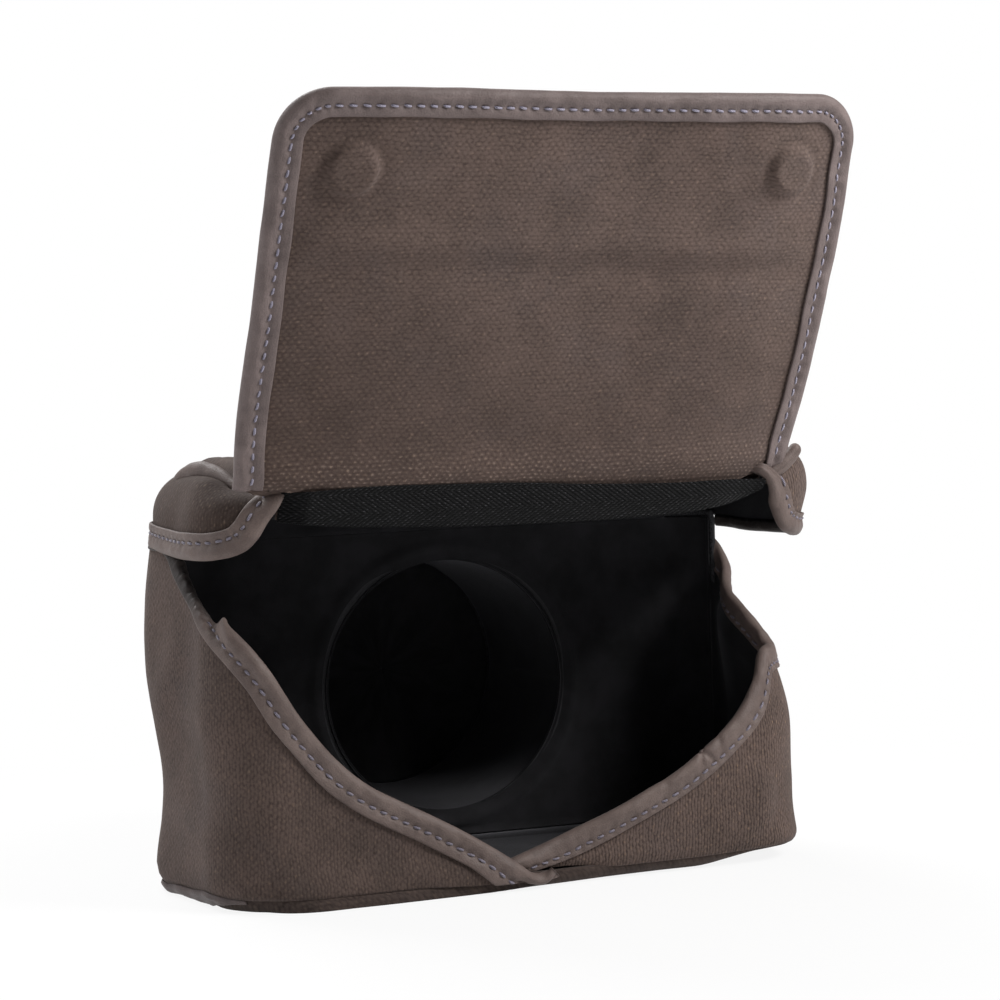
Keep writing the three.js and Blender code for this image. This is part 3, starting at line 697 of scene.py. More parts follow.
def metal_look(name):
    look = Look(name, "magnet", Metallic=1.0)
    place = look.node("ShaderNodeTexCoord").outputs["Object"]
    scratch = look.noise(1.0, 3.0, 0.6, stretch=(900.0, 900.0, 9000.0), at=place)
    colour = look.mix(scratch, (0.42, 0.42, 0.44, 1), (0.62, 0.62, 0.65, 1))
    return look.finish(colour, look.remap(scratch, 0.2, 0.8, 0.22, 0.42), look.bump(scratch, 0.02, 0.4))


def board_look(name):
    look = Look(name, "board", Specular_IOR_Level=0.3)
    fibre = look.noise(1.1, 4.0, 0.6, stretch=(0.4, 2.0, 1.0))
    colour = look.mix(fibre, (0.10, 0.07, 0.05, 1), (0.17, 0.13, 0.09, 1))
    return look.finish(colour, look.remap(fibre, 0.3, 0.7, 0.7, 0.9), look.bump(fibre, 0.08, 0.5))


def flap_painted_shade(look, x, z):
    """Painted shade: the flap is darker near its fold and towards its left end, where less light reaches it.
    """
    return look.math("ADD", look.remap(z, 0.0, 66.0, 0.3, 0.0), look.remap(x, -66.0, 20.0, 0.16, 0.0))


def ear_painted_shade(look, h, d):
    """Painted shade: the left ear is darker over its turn, which lies in shade, and not where it meets the
    hood.
    """
    return look.math("MULTIPLY", look.remap(h, 97.0, 108.0, 0.62, 0.0), look.remap(d, -128.0, -98.0))


LEFT_WEAVE = dict(across=0.75, up=0.81, dots=0.16, ribs=0.13, warm=0.5, deep=0.56)
RIGHT_WEAVE = dict(across=0.75, up=0.81, dots=0.14, ribs=0.19, warm=0.95, deep=0.4)
canvas_skin = canvas_look("canvas_cloth", 0.86)
flap_skin = canvas_look("canvas_flap", 1.0, lit_crowns=0.45, shaded=flap_painted_shade)
# Painted shade: the left walls' canvas, also used on the front and the barrel, is set darker than the
# right's for the shade on the case's left.
shaded_wall_skin = canvas_look("canvas_walls", 0.74, **LEFT_WEAVE)
# Painted shade: the left ear's canvas is toned down, and darker still over its turn.
ear_skin = canvas_look("canvas_ear", 0.8, shaded=ear_painted_shade, **LEFT_WEAVE)
right_skin = canvas_look("canvas_right", 0.93, **RIGHT_WEAVE)
base_skin = canvas_look("canvas_base", 0.5)
flap_leather = leather_look("leather_flap", linear(94, 82, 80), linear(114, 101, 99))
case_leather = leather_look("leather_case", linear(88, 75, 71), linear(107, 93, 88))
base_leather = leather_look("leather_base", linear(66, 55, 54), linear(88, 76, 74))
lining_skin = lining_look("lining_brushed")
foam_skin = foam_look("foam_cells")
tape_skin = tape_look("tape_herringbone")
flap_thread = thread_look("thread_flap", linear(104, 99, 114), linear(172, 168, 188))
# Painted shade: the walls' thread is the flap's thread made darker, for the less light that the walls take.
shaded_case_thread = thread_look("thread_case", linear(74, 68, 78), linear(138, 132, 148))
board_skin = board_look("board_fibre")
metal_skin = metal_look("magnet_plate")

# Edges drawn on the walls: distance round from the middle of the back, and distance up
WING_EDGE = {
    -1: (
        (-2.4, 4.9), (-1.2, 3.7), (0.6, 3.4), (2.4, 4.1), (4.4, 5.5), (7, 7.3), (10.2, 9.5), (18.4, 14.6),
        (26.4, 19.1), (34.3, 23.2), (41, 26.9), (46.3, 31), (50.5, 35.2), (54.2, 39.6), (58.0, 44.7),
        (60.6, 49), (63.2, 53.4), (65.9, 57.2), (68.5, 60.2), (71.4, 62.8), (74.5, 65.2), (79, 68.8),
        (83, 72.2), (87.2, 75.5), (91.3, 79.2), (95.8, 83.0), (102, 85.6), (110, 86.2), (118, 86.2)
    ),
    1: (
        (-12, 5.4), (-5.8, 7.3), (0.1, 9.1), (5.2, 10.7), (12.1, 13.4), (19.8, 16.6), (28.5, 20.5),
        (33.8, 22.9), (38.3, 25.4), (42.6, 28.2), (47.7, 31.6), (51.9, 35), (56, 39.3), (58.8, 43.4),
        (61.2, 47.2), (63.8, 49.6), (67.2, 50.8), (72, 51.2), (76, 51.2), (80, 51.8), (84, 53.7),
        (88, 56.4), (92, 58.6), (96, 60.6), (101, 63.0), (107, 66.0), (112, 69), (118, 74.5)
    ),
}
EAR_EDGE = {
    -1: (
        (59.6, 92.3), (61, 90.2), (63, 87.7), (65.8, 83.4), (68, 81.2), (70.5, 80.0), (74.5, 79.1),
        (84, 78.6), (93.5, 78.6), (102, 79.0), (110, 79.3), (118, 79.5)
    ),
    1: (
        (56, 92.3), (58, 91.5), (59.6, 90.4), (61.1, 88.4), (62.2, 85.3), (63.6, 82.2), (66, 79.4),
        (70.6, 77.7), (76, 77.2), (84, 77.2), (94, 77.0), (104, 76.8), (118, 77.4)
    ),
}
TIP = {-1: -2.4, 1: -12.0}
CROSSING_LIFT = {-1: 1.1, 1: -2.0}
# The left wing's rolled edge: how far in its bend starts, the bend's radius and angle, and its puckers
CURL_START = 6.2
CURL_RADIUS = 1.0
CURL_ANGLE = math.radians(170)
SCALLOP = 4.1
PUCKER = 1.7


def edge_height(knots, d):
    """An edge's height at each distance round, and how far its slope stretches a height."""
    x, y = rounded_line(knots, EDGE_STEP).T
    return np.interp(d, x, y), np.interp(d, x, np.hypot(1, np.gradient(y, x)))


def crossing(side, d):
    """How far a wing lifts where the two cross at the foot of the back."""
    return CROSSING_LIFT[side] * (1 - smooth(TIP[side] + 18, TIP[side] + 34, d))


def turned_in(d, h, depth):
    """Near the strap opening the left wing's bound edge rolls over inwards, and is puckered."""
    height, stretch = edge_height(WING_EDGE[-1], d)
    share = smooth(72.5, 88, d)
    reach = (h - height) / stretch + CURL_START
    depth = depth * (1 - 0.5 * smooth(-3, 0.5, reach) * share)
    gathers = np.abs(np.sin(np.pi * (d - 0.08 * d * np.sin(d)) / SCALLOP)) ** 0.7 - 0.6
    pucker = PUCKER * gathers * smooth(80, 86, d) * np.sin(np.clip(reach / CURL_RADIUS, 0, np.pi / 2))
    radius = CURL_RADIUS - depth
    angle = np.clip(reach / CURL_RADIUS, 0, CURL_ANGLE * share)
    rest = np.clip(reach - CURL_RADIUS * angle, 0, None)
    up = radius * np.sin(angle) + rest * np.cos(angle) + pucker
    deep = CURL_RADIUS - radius * np.cos(angle) + rest * np.sin(angle)
    bent = reach > 0
    return np.where(bent, height - CURL_START * stretch + up * stretch, h), np.where(bent, deep, depth)


def wing_point(side):
    def point(d, h, depth):
        if side < 0:
            h, depth = turned_in(d, h, depth)
        return wall(d, h, depth - crossing(side, d), side)

    return point


def ear_point(side):
    return lambda d, h, depth: wall(d, h, depth, side, ear_swell)


# Binding: a strip of leather folded over an edge. The section is drawn by the distance in from
# the rolled edge and the height over the face that it covers.
PITCH = 2.95
SEAM = 4.0
LIFT = 0.1
RAW_EDGE = ((0.0, 0.06), (0.03, 0.42), (-0.05, 0.66), (-0.3, 0.78), (-0.8, 0.8))
STITCH_LINE = ((1.1, 0.8), (0.65, 0.7), (0.3, 0.52), (0.0, 0.44), (-0.3, 0.54), (-0.7, 0.78), (-1.2, 0.98))
ROLL = ((2.1, 1.1), (1.6, 1.12), (1.1, 1.0), (0.65, 0.78), (0.28, 0.44), (0.05, 0.02))


# The channel that the cloth fills: how far in its floor, its corners and a point between them are, and
# how far its faces end short of the leaves' edges
CHANNEL_FLOOR = 1.0
CHANNEL_END = 1.4
CHANNEL_MIDDLE = 4.0
LEAF_END = 0.1


def leaf(width, seam):
    """One leaf's section, with its cut edge, the groove of its seam and the roll."""
    if width < seam + 1:
        return np.array([*[(width + x, y) for x, y in RAW_EDGE], (2.9, 0.86), *ROLL])
    close = width < seam + 2
    raw = [(width + x, y) for x, y in (RAW_EDGE[:4] if close else RAW_EDGE)]
    groove = [(seam + x, y) for x, y in (STITCH_LINE[2:] if close else STITCH_LINE)]
    return np.array([*raw, *groove, *ROLL])


class Section:
    """The section of a binding: its outer and inner leaves, and the cloth between them."""

    def __init__(self, stack, width, inner, seam=SEAM, edge=0.9):
        self.stack, self.seam, self.edge = stack, seam, edge
        front = leaf(width, seam)
        back = leaf(inner, seam)[::-1].copy()
        back[:, 1] = -self.thick(back[:, 0]) - back[:, 1]
        under = (inner - LEAF_END, (inner + CHANNEL_END) / 2, CHANNEL_END)
        channel = [(x, -self.thick(x)) for x in under] + [(CHANNEL_FLOOR, -edge / 2)]
        channel += [(x, 0.0) for x in (CHANNEL_END, CHANNEL_MIDDLE, width - LEAF_END)]
        self.line = np.array([*front, (0.0, -edge / 2), *back, *channel])
        self.face = np.array([1] * len(front) + [0] + [-1] * len(back) + [0] * len(channel))

    def thick(self, x):
        return self.edge + (self.stack - self.edge) * smooth(1.2, 6.2, x)


WALL_STACK = 1.45
WING_SECTIONS = {-1: Section(WALL_STACK, 6.6, 5.4), 1: Section(WALL_STACK, 5.7, 5.4, 4.2)}
EAR_SECTIONS = {-1: Section(WALL_STACK, 6.2, 2.4), 1: Section(WALL_STACK, 5.3, 2.4)}
FLAP_SECTION = Section(FLAP_STACK, 6.3, 6.2, 3.75)
# A dip of the leather between two stitches, and how far the ends of a strip taper
DIP = 0.16
END_TAPER = 2.0
# Points of a section further in than this are held above the base's seam
CLEAR_OF_BASE = 3.4


def binding(
    name, line, way, section, point, look, ends=(0.0, 0.0), low=None, pinch=None, creases=(), dim=None,
    **more
):
    """A ring of the section at each point of the line, with the leather's dips, slack and creases."""
    along = lengths(line)[:, None]
    x, y = section.line.T
    face = section.face
    dip = DIP * np.cos(2 * np.pi * along / PITCH) * bell(x, section.seam, 1.0) * face
    slack = 0.1 * ripple(along, x * 3, 9, 51) * bell(x, 1.8, 1.6) * face
    slack = slack + 0.05 * ripple(along, x, 3.2, 53) * bell(x, 2.2, 1.8) * face
    for where, depth, spread, slant in creases:
        slack = slack - depth * bell(along + slant * (x - 2), where, spread) * bell(x, 1.2, 2.6) * face
    fall = smooth(0, END_TAPER, along) * smooth(0, END_TAPER, along[-1] - along)
    close = 1 - (1 - fall) * np.where(along < along[-1] / 2, *ends)
    middle = -section.edge / 2
    height = middle + (y + dip + slack - middle) * close
    width = x * (1 + 0.014 * ripple(along, 0, 14, 52))
    if pinch is not None:
        width = width * pinch(along)
    start = line[:, None, :] + way[:, None, :] * width[..., None]
    d, h = start[..., 0], start[..., 1]
    if low is not None:
        h = np.where(x > CLEAR_OF_BASE, np.maximum(h, low), h)
    points = point(d, h, -(height + LIFT))
    run = np.cumsum(np.hypot(np.gradient(x), np.gradient(y)))
    # The cloth's third number carries painted shade for the leather.
    dark = 0.0 if dim is None else dim(line[:, :1], x, face)
    return make(name, points, tube_faces(len(line), len(x)), stacked(along, run, dark), look, **more)


# A stitch: its length, its thread's radius, its tilt, how much length and tilt vary, and its height,
# its arch and how it dives at its ends
STITCH = 1.95
THREAD = 0.27
STITCH_TILT = 0.1
STITCH_VARIES = 0.05
STITCH_RISE = 0.5
STITCH_ARCH = 0.17
STITCH_DIVE = 0.22


def stitches(name, line, way, section, point, look, sides, start, stop, low, hidden, **more):
    """Short thread runs along the seam line of a binding, on its outer and inner faces."""
    along = lengths(line)
    count = int((along[-1] - start - stop) // PITCH)
    around, steps = 8, 9
    points, cloth, faces = [], [], []
    r = np.random.default_rng(17)
    for turn in range(count + 1):
        for side in sides:
            centre = start + turn * PITCH + (0 if side > 0 else PITCH / 2)
            if side < 0 and not hidden <= centre <= along[-1] - hidden:
                continue
            tilt = STITCH_TILT + STITCH_VARIES * r.normal()
            t = np.linspace(-1, 1, steps)
            at = np.clip(centre + t * STITCH / 2 * (1 + STITCH_VARIES * r.normal()), 0, along[-1])
            base, inwards = (
                stacked(*[np.interp(at, along, column) for column in values.T]) for values in (line, way)
            )
            radius = THREAD * np.sqrt(np.clip(1 - t ** 4, 0.02, 1))
            rise = STITCH_RISE + STITCH_ARCH * (1 - t * t) - STITCH_DIVE * t ** 4
            angle = 2 * np.pi * np.arange(around) / around
            inset = (section.seam + tilt * t)[:, None] + radius[:, None] * np.cos(angle) * 1.1
            up = rise[:, None] + radius[:, None] * np.sin(angle)
            over = up + LIFT if side > 0 else -section.thick(section.seam) - up + LIFT
            q = base[:, None] + inwards[:, None] * inset[..., None]
            h = q[..., 1] if low is None else np.maximum(q[..., 1], low)
            first = steps * around * len(points)
            points.append(stacked(q[..., 0], h, -over))
            cloth.append(stacked(at[:, None], np.arange(around) * 0.24, 0.0))
            faces += grid_faces(steps, around, first, side < 0, True)
            caps = [tuple(range(first + k, first + k + around)) for k in (0, (steps - 1) * around)]
            faces += [caps[0], caps[1][::-1]]
    d, h, depth = np.moveaxis(np.array(points), -1, 0)
    make(name, point(d, h, depth), faces, cloth, look, **more)


def bind_edge(
    name, line, wall_is, section, point, look, thread, sides=(1, -1), sewn_from=1.2, sewn_to=1.2, hidden=0.0,
    low=None, body="case", **more
):
    """The binding of an edge and its seam, sewn on these sides, except where the inner one is hidden."""
    way = inward(line, wall_is)
    binding(name, line, way, section, point, look, low=low, body=body, **more)
    sewn = name + "_stitches"
    stitches(sewn, line, way, section, point, thread, sides, sewn_from, sewn_to, low, hidden, body=body)


# Walls
def wall_layer(name, side, columns, low, high, outer, thickness, look, point):
    """A layer between two heights; its depth is a number, or a function of the place."""
    t = np.linspace(0, 1, WALL_ROWS)[:, None]
    h, d = np.broadcast_arrays(low + (high - low) * t, np.asarray(columns, float))
    depth = outer(d, h) if callable(outer) else outer
    top, under = point(d, h, depth), point(d, h, depth + thickness)
    shell(name, top, under, h, side * d, look, turned=side < 0)


LINING_ON_CANVAS = CANVAS + 0.08
LOW_BINDING = BASE_SEAM + 0.15
# How far the canvas and the lining stop short of a bound edge and its tip, and their shortest column
CANVAS_TRIM = 1.3
LINING_TRIM = 2.6
TIP_TRIM = 1.2
SHORTEST = 0.8
# The left wing's seam shows up to here, and rolls out of sight beyond
SEWN_UP_TO = 79.5
# Creases of the right wing's binding: where, depth, spread along it and slant
WING_CREASES = (
    (57.6, 0.9, 0.8, 0.9), (60.2, 0.8, 0.65, -0.3), (64.0, 0.45, 1.0, 0.5), (47, 0.3, 1.2, 0.4),
    (82, 0.3, 1.4, -0.4)
)


def wing(side, name):
    point = wing_point(side)
    edge = WING_EDGE[side]
    columns = int((STRAP_END_AT - TIP[side]) / WING_COLUMN)
    d = np.linspace(TIP[side] + TIP_TRIM, STRAP_END_AT + SEAM_GAP, columns)
    height, stretch = edge_height(edge, d)
    low = BASE_SEAM + SEAM_GAP

    def lining_depth(d, h):
        """The lining lies on the canvas at the bound edge, and over the foam further in."""
        height, stretch = edge_height(edge, d)
        near = (height - h) / stretch
        return LINING_ON_CANVAS + (LINING_LAYER[0] - LINING_ON_CANVAS) * smooth(5.4, 10.2, near)

    for layer, trim, outer, thickness, look in (
        ("wing_", CANVAS_TRIM, *CANVAS_LAYER, shaded_wall_skin if side < 0 else right_skin),
        ("wing_foam_", BINDING + 2.8, *FOAM_LAYER, foam_skin),
        ("wing_lining_", LINING_TRIM, lining_depth, LINING, lining_skin),
    ):
        top = height - trim * stretch
        keep = top > low + SHORTEST
        wall_layer(layer + name, side, d[keep], low, top[keep], outer, thickness, look, point)

    line = rounded_line(edge, LINE_STEP)
    if side < 0:
        along = lengths(line)
        more = dict(
            ends=(0.55, 0.0),
            pinch=lambda along: 0.42 + 0.58 * smooth(1.5, 13, along),
            # Painted shade: the rolled-in edge near the strap opening is darkened, as it lies in the ear's
            # shadow.
            dim=lambda d, x, face: 0.8 * smooth(77, 85, d) * smooth(7.4, 6.2, x),
            sewn_from=9.5,
            sewn_to=along[-1] - along[np.searchsorted(line[:, 0], SEWN_UP_TO)],
        )
    else:
        more = dict(creases=WING_CREASES)
    bind_edge(
        "wing_binding_" + name, line, -1, WING_SECTIONS[side], point, case_leather, shaded_case_thread,
        low=LOW_BINDING, **more
    )


EAR_BINDING = {
    -1: dict(ends=(0.3, 0.0), sewn_from=1.4),
    1: dict(ends=(0.8, 0.0), sewn_from=6.5, pinch=lambda along: 0.24 + 0.76 * smooth(0.5, 9, along)),
}


def ear(side, name):
    point = ear_point(side)
    edge = EAR_EDGE[side]
    top = SHOULDER_END + CORNER - SHOULDER
    d = np.linspace(EAR_TIP_AT if side < 0 else BACK + SEAM_GAP, HALF_ROUND - BACK, EAR_COLUMNS)
    height, stretch = edge_height(edge, np.minimum(d, STRAP_END_AT))
    for layer, trim, outer, thickness, look in (
        ("ear_", CANVAS_TRIM, *CANVAS_LAYER, ear_skin if side < 0 else right_skin),
        ("ear_lining_", LINING_TRIM, LINING_ON_CANVAS, LINING, lining_skin),
    ):
        low = np.where(d < STRAP_END_AT, height + trim * stretch, FRONT_SEAM + SEAM_GAP)
        wall_layer(layer + name, side, d, np.minimum(low, top - 4), top, outer, thickness, look, point)
    line = rounded_line(edge, LINE_STEP)
    line = line[line[:, 0] < STRAP_END_AT - 0.3]
    bind_edge(
        "ear_binding_" + name, line, 1, EAR_SECTIONS[side], point, case_leather, shaded_case_thread, sides=(1,),
        # Painted shade: the inner leaf of the ear's binding is darkened, as it lies in shade.
        dim=lambda d, x, face: 0.85 * smooth(0, -1, face) * smooth(64, 76, d), **EAR_BINDING[side]
    )


def front_wall_swell(side, d, h):
    """The front's softness, with shallow grooves where it meets the hood and the barrel."""
    around = np.hypot(HALF_ROUND - d, h - LENS_Z)
    grooves = 0.5 * bell(h, FRONT_SEAM, 0.9) + 0.9 * bell(around, LENS_RADIUS, 1.6)
    return side_swell(side, d, h) - grooves


def front():
    """The front wall: sheets between the barrel's hole and their own four edges."""
    half = HALF_ROUND - STRAP_END_AT
    low = BASE_SEAM + SEAM_GAP
    for name, (outer, thickness), hole, wider, taller, look in (
        ("front_panel", CANVAS_LAYER, LENS_RADIUS - 0.25, 0.0, 0.0, shaded_wall_skin),
        ("front_foam", (CANVAS + GAP, FOAM - GAP), LENS_RADIUS - 0.1, 1.0, 1.0, foam_skin),
        ("front_lining", LINING_LAYER, LENS_RADIUS - WALL - 0.2, 0.0, -0.6, lining_skin),
    ):
        wide, high = half + wider, FRONT_SEAM + taller
        corners = ((wide, low), (wide, high), (-wide, high), (-wide, low), (wide, low))
        runs = zip(corners, corners[1:], (64, 116, 64, 116))
        edge = [np.linspace(a, b, count, endpoint=False) for a, b, count in runs]
        edge = np.concatenate(edge) - (0, LENS_Z)
        rim = np.hypot(edge[:, 0], edge[:, 1])
        t = (np.linspace(0, 1, 56) ** 1.15)[:, None]
        radius = (hole * (1 - t) + rim[None] * t) / rim[None]
        u, h = radius * edge[None, :, 0], LENS_Z + radius * edge[None, :, 1]
        sheets = []
        for depth in (outer, outer + thickness):
            left, right = (wall(HALF_ROUND - np.abs(u), h, depth, s, front_wall_swell) for s in (-1, 1))
            sheets.append(np.where((u > 0)[..., None], left, right))
        shell(name, *sheets, h, u, look, closed=True)


def round_swell(side, d, h):
    """The walls' softness all the way round, from the middle of the back over the right."""
    e = np.where(d > HALF_ROUND, 2 * HALF_ROUND - d, d)
    return np.where(d > HALF_ROUND, side_swell(-1, e, h), side_swell(1, e, h))


# A flat sheet drawn from rings starts with one this share of its size, and not with a point
INNERMOST = 0.004
BASE_TOP = BASE_SEAM + 0.3
# The base's lining stops this far in from the wall, and turns up this much there
LINING_EDGE = 3.6
LINING_CURB = 1.2
# How much of its height goes into the tray's weave, which so runs on up the sides
CLIMB = 0.7


def base():
    """The canvas tray, and the foam and lining on its floor."""
    around = np.linspace(0, 2 * HALF_ROUND, ROUND_COLUMNS, endpoint=False)
    rise = np.linspace(FLAT_BASE, BASE_TOP, 16)
    d, h = np.meshgrid(around, rise)
    tuck = 0.35 * smooth(BASE_SEAM - 1.2, BASE_TOP, h)
    top = wall(d, h, tuck, 1, round_swell)
    under = wall(d, h, CANVAS + tuck, 1, round_swell)
    under[..., 2] = np.maximum(under[..., 2], CANVAS + FLOOR_GAP)
    lifted = top[0, :, 2] - FLOOR_GAP

    def filled(rings):
        """The rings, and inside their first the floor, which falls to its middle."""
        x, y, z = rings[0].T
        share = np.linspace(INNERMOST, 1, 14)[:-1, None]
        return np.concatenate([stacked(x * share, y * share, z - lifted * (1 - share ** 2)), rings])

    outer = filled(top)
    x, y, z = np.moveaxis(outer, -1, 0)
    shell("base_panel", outer, filled(under), x + CLIMB * z, y + CLIMB * z, base_skin, closed=True)
    x, y, nx, ny = plan(around)
    share = np.linspace(INNERMOST, 1, 20)[:, None]
    for name, bottom, thickness, edge, curb, look in (
        ("base_foam", CANVAS + GAP, FOAM, BASE_RADIUS + GAP, 0.0, foam_skin),
        ("base_lining", CANVAS + 2 * GAP + FOAM, LINING, LINING_EDGE, LINING_CURB, lining_skin),
    ):
        px, py = (x - edge * nx) * share, (y - edge * ny) * share
        z = bottom + np.maximum(0.25 * (1 - share ** 2) * ripple(px, py, 40, 61), 0)
        z = z + curb * smooth(0.94, 1, share) + lifted * share ** 2
        flat = stacked(px, py, z)
        shell(name, flat + (0, 0, thickness), flat, px, py, look, closed=True)


# Where the strips round the ends of the base begin and end, by the distance round
BASE_BINDING_FROM = {-1: 71, 1: 84}
BASE_BINDING_TO = 122


def base_bindings():
    for side, name in SIDES:
        d = np.arange(BASE_BINDING_FROM[side], BASE_BINDING_TO + 0.01, 0.6)
        t = np.linspace(0, 1, 14)[:, None]
        ends = smooth(0, 9, d - d[0]) * smooth(0, 9, d[-1] - d)
        high = BASE_SEAM + 0.6 - 0.5 * (1 - ends) + 0.15 * ripple(d, 0, 13, 81)
        low = -0.5 + 2.3 * (1 - smooth(2, 22, d - d[0])) + 2.0 * (1 - smooth(0, 9, d[-1] - d))
        h = low + (high - low) * t
        crown = (0.75 * np.sqrt(np.clip(1 - (2 * t - 1) ** 4, 0, 1)) + 0.1) * (0.25 + 0.75 * ends)
        crown = crown + 0.14 * ripple(d, h * 4, 9, 82) * ends
        top, under = wall(d, h, -crown - 0.03, side), wall(d, h, -0.02, side)
        shell("base_binding_" + name, top, under, d, h, base_leather, turned=side < 0)


# The hinge's tape: its ends, the lines of its lower and upper edges, and its section
TAPE_LEFT, TAPE_RIGHT = -60.5, 60.0
TAPE_LOW = (
    (-60.5, 87.0), (-52, 86.0), (-30, 84.7), (0, 84.0), (28, 84.3), (42, 85.0), (52, 86.6), (58, 88.4),
    (61, 89.6)
)
TAPE_HIGH = ((-60.5, 93.4), (-34, 94.3), (-9, 93.8), (15, 92.8), (36, 92.0), (48, 92.2), (61, 91.8))
TAPE_LINE = ((0.0, -29.4), (0.3, -30.0), (0.6, -30.9), (0.82, -31.8), (1.0, -32.6))


def hinge_tape():
    x = np.linspace(TAPE_LEFT, TAPE_RIGHT, 190)[None]
    t = np.linspace(0, 1, 26)[:, None]
    low = through(x, TAPE_LOW)
    high = through(x, TAPE_HIGH) + 0.15 * ripple(x, 0, 30, 91)
    z = low + (high - low) * t
    y = through(t, TAPE_LINE) - 0.35 * np.sin(np.pi * t) * (1 + 0.4 * ripple(x, t * 4, 24, 92)) + tucked(x)
    front, back = stacked(x, y - TAPE / 2, z), stacked(x, y + TAPE / 2, z - 0.1)
    shell("hinge_tape", back, front, x, z - 85, tape_skin, bend=True)


# The hood's hanging lip reaches up to here
LIP_TOP = 94


def hood_sheet(x, front_h, back_h, depth):
    """One face of the hood, from the front's seam over the top to the lip that hangs inside the fold."""

    def still(side, d, h):
        return 0.0

    groove = 0.5 * bell(front_h, FRONT_SEAM, 0.9)
    a = wall(np.full(len(front_h), HALF_ROUND), front_h, depth + groove, 1, still)
    b = wall(np.zeros(len(back_h)), back_h, depth, 1, still)
    over = np.linspace(a[-1], b[0], 42)[1:-1]
    profile = np.concatenate([a, over, b])
    grid = np.repeat(profile[:, None, :], len(x), 1)
    grid[..., 0] = x
    y, z = profile[:, 1:2], profile[:, 2:]
    past = np.minimum(a[-1, 1] - over[:, 1], over[:, 1] - b[0, 1])
    high = np.concatenate([front_h, SHOULDER_END + past, back_h])[:, None]
    _, _, out, up = section(np.minimum(high, SHOULDER_END))
    share = np.where(y < a[-1, 1] - 10, smooth(103, 108, high), 1.0)
    puff, start = (np.where(x < 0, values[-1], values[1]) for values in (HOOD_PUFF, HOOD_RISES))
    rise = puff * smooth(22, BACK, np.abs(x)) * smooth(start, HOOD_FULL, high) * share
    grid[..., 1] += rise * out * np.where(y > 0, 1.0, -1.0)
    grid[..., 2] += rise * up
    lip = np.maximum(HOOD_LIP, through(x, TAPE_LOW) + 0.5)
    hanging = (y < 0) & (grid[..., 2] < LIP_TOP)
    lifted = lip + (grid[..., 2] - HOOD_LIP) * (LIP_TOP - lip) / (LIP_TOP - HOOD_LIP)
    grid[..., 2] = np.where(hanging, lifted, grid[..., 2])
    grid[..., 1] += np.where(hanging, tucked(x) * smooth(LIP_TOP, 90, grid[..., 2]), 0)
    top = smooth(BODY_HEIGHT - 8, BODY_HEIGHT - 0.5, z + depth)
    sag = 1.6 * bell(x, 0, 46) + 0.3 * ripple(x, y, 26, 71)
    grid[..., 2] -= (sag * smooth(0, 9, BACK - np.abs(x)) + 0.35 * bell(np.abs(x), BACK, 0.8)) * top
    grid[..., 1] += 0.5 * bell(x, 0, 50) * bell(z, 88, 7) * smooth(0, 12, y)
    return grid


def hood():
    """The strip over the top between the two ears."""
    x = np.linspace(-BACK - 0.1, BACK + 0.1, HOOD_COLUMNS)
    for name, (outer, thickness), shorter, look in (
        ("hood_panel", CANVAS_LAYER, 0.0, canvas_skin),
        ("hood_foam", FOAM_LAYER, 1.1, foam_skin),
        ("hood_lining", LINING_LAYER, -0.7, lining_skin),
    ):
        front_h = np.linspace(FRONT_SEAM + SEAM_GAP + shorter, SHOULDER_END, 22)
        back_h = np.linspace(SHOULDER_END, HOOD_LIP, 20)
        sheets = [hood_sheet(x, front_h, back_h, depth) for depth in (outer, outer + thickness)]
        shell(name, *sheets, x, lengths(sheets[0][:, 0])[:, None], look)


def turned(name, outer, inner, look, flat=False):
    """A sheet turned about the barrel's axis, from the outlines (radius, y) of its two faces."""
    outline = np.concatenate([outer, inner])
    angle = np.linspace(0, 2 * np.pi, 160, endpoint=False)
    r, y = outline.T[..., None]
    grid = stacked(r * np.cos(angle), y, LENS_Z + r * np.sin(angle))
    rows, columns = grid.shape[:2]
    faces = grid_faces(rows, columns, 0, True, True)
    last = (rows - 1) * columns
    for j in range(columns):
        k = (j + 1) % columns
        faces.append((last + k, k, j, last + j))
    if flat:
        cloth = grid[..., [0, 2, 2]] * (1, 1, 0)
    else:
        cloth = stacked(angle * LENS_RADIUS, lengths(outline)[:, None], 0.0)
    make(name, grid, faces, cloth, look)


def barrel():
    start, end = HALF_DEPTH - WALL + LINING + 0.1, HALF_DEPTH + LENS_REACH
    y = np.linspace(start, end, 60)
    radius = LENS_RADIUS - LENS_TAPER * (y - start) / (end - start)
    seam = 0.55 * bell(y, end, 0.9) + 0.5 * bell(y, HALF_DEPTH + 0.4, 1.1)
    seam = seam - 0.18 * bell(y, end - 2.2, 1.2) - 0.15 * bell(y, HALF_DEPTH + 3, 1.4)
    for name, (depth, thickness), dip, look in (
        ("lens_band", CANVAS_LAYER, seam, shaded_wall_skin),
        ("lens_foam", FOAM_LAYER, 0 * seam, foam_skin),
        ("lens_lining", LINING_LAYER, 0 * seam, lining_skin),
    ):
        outer = stacked(radius - depth - dip, y)
        inner = stacked(radius - depth - thickness - 0.6 * dip, y)[::-1]
        turned(name, outer, inner, look)


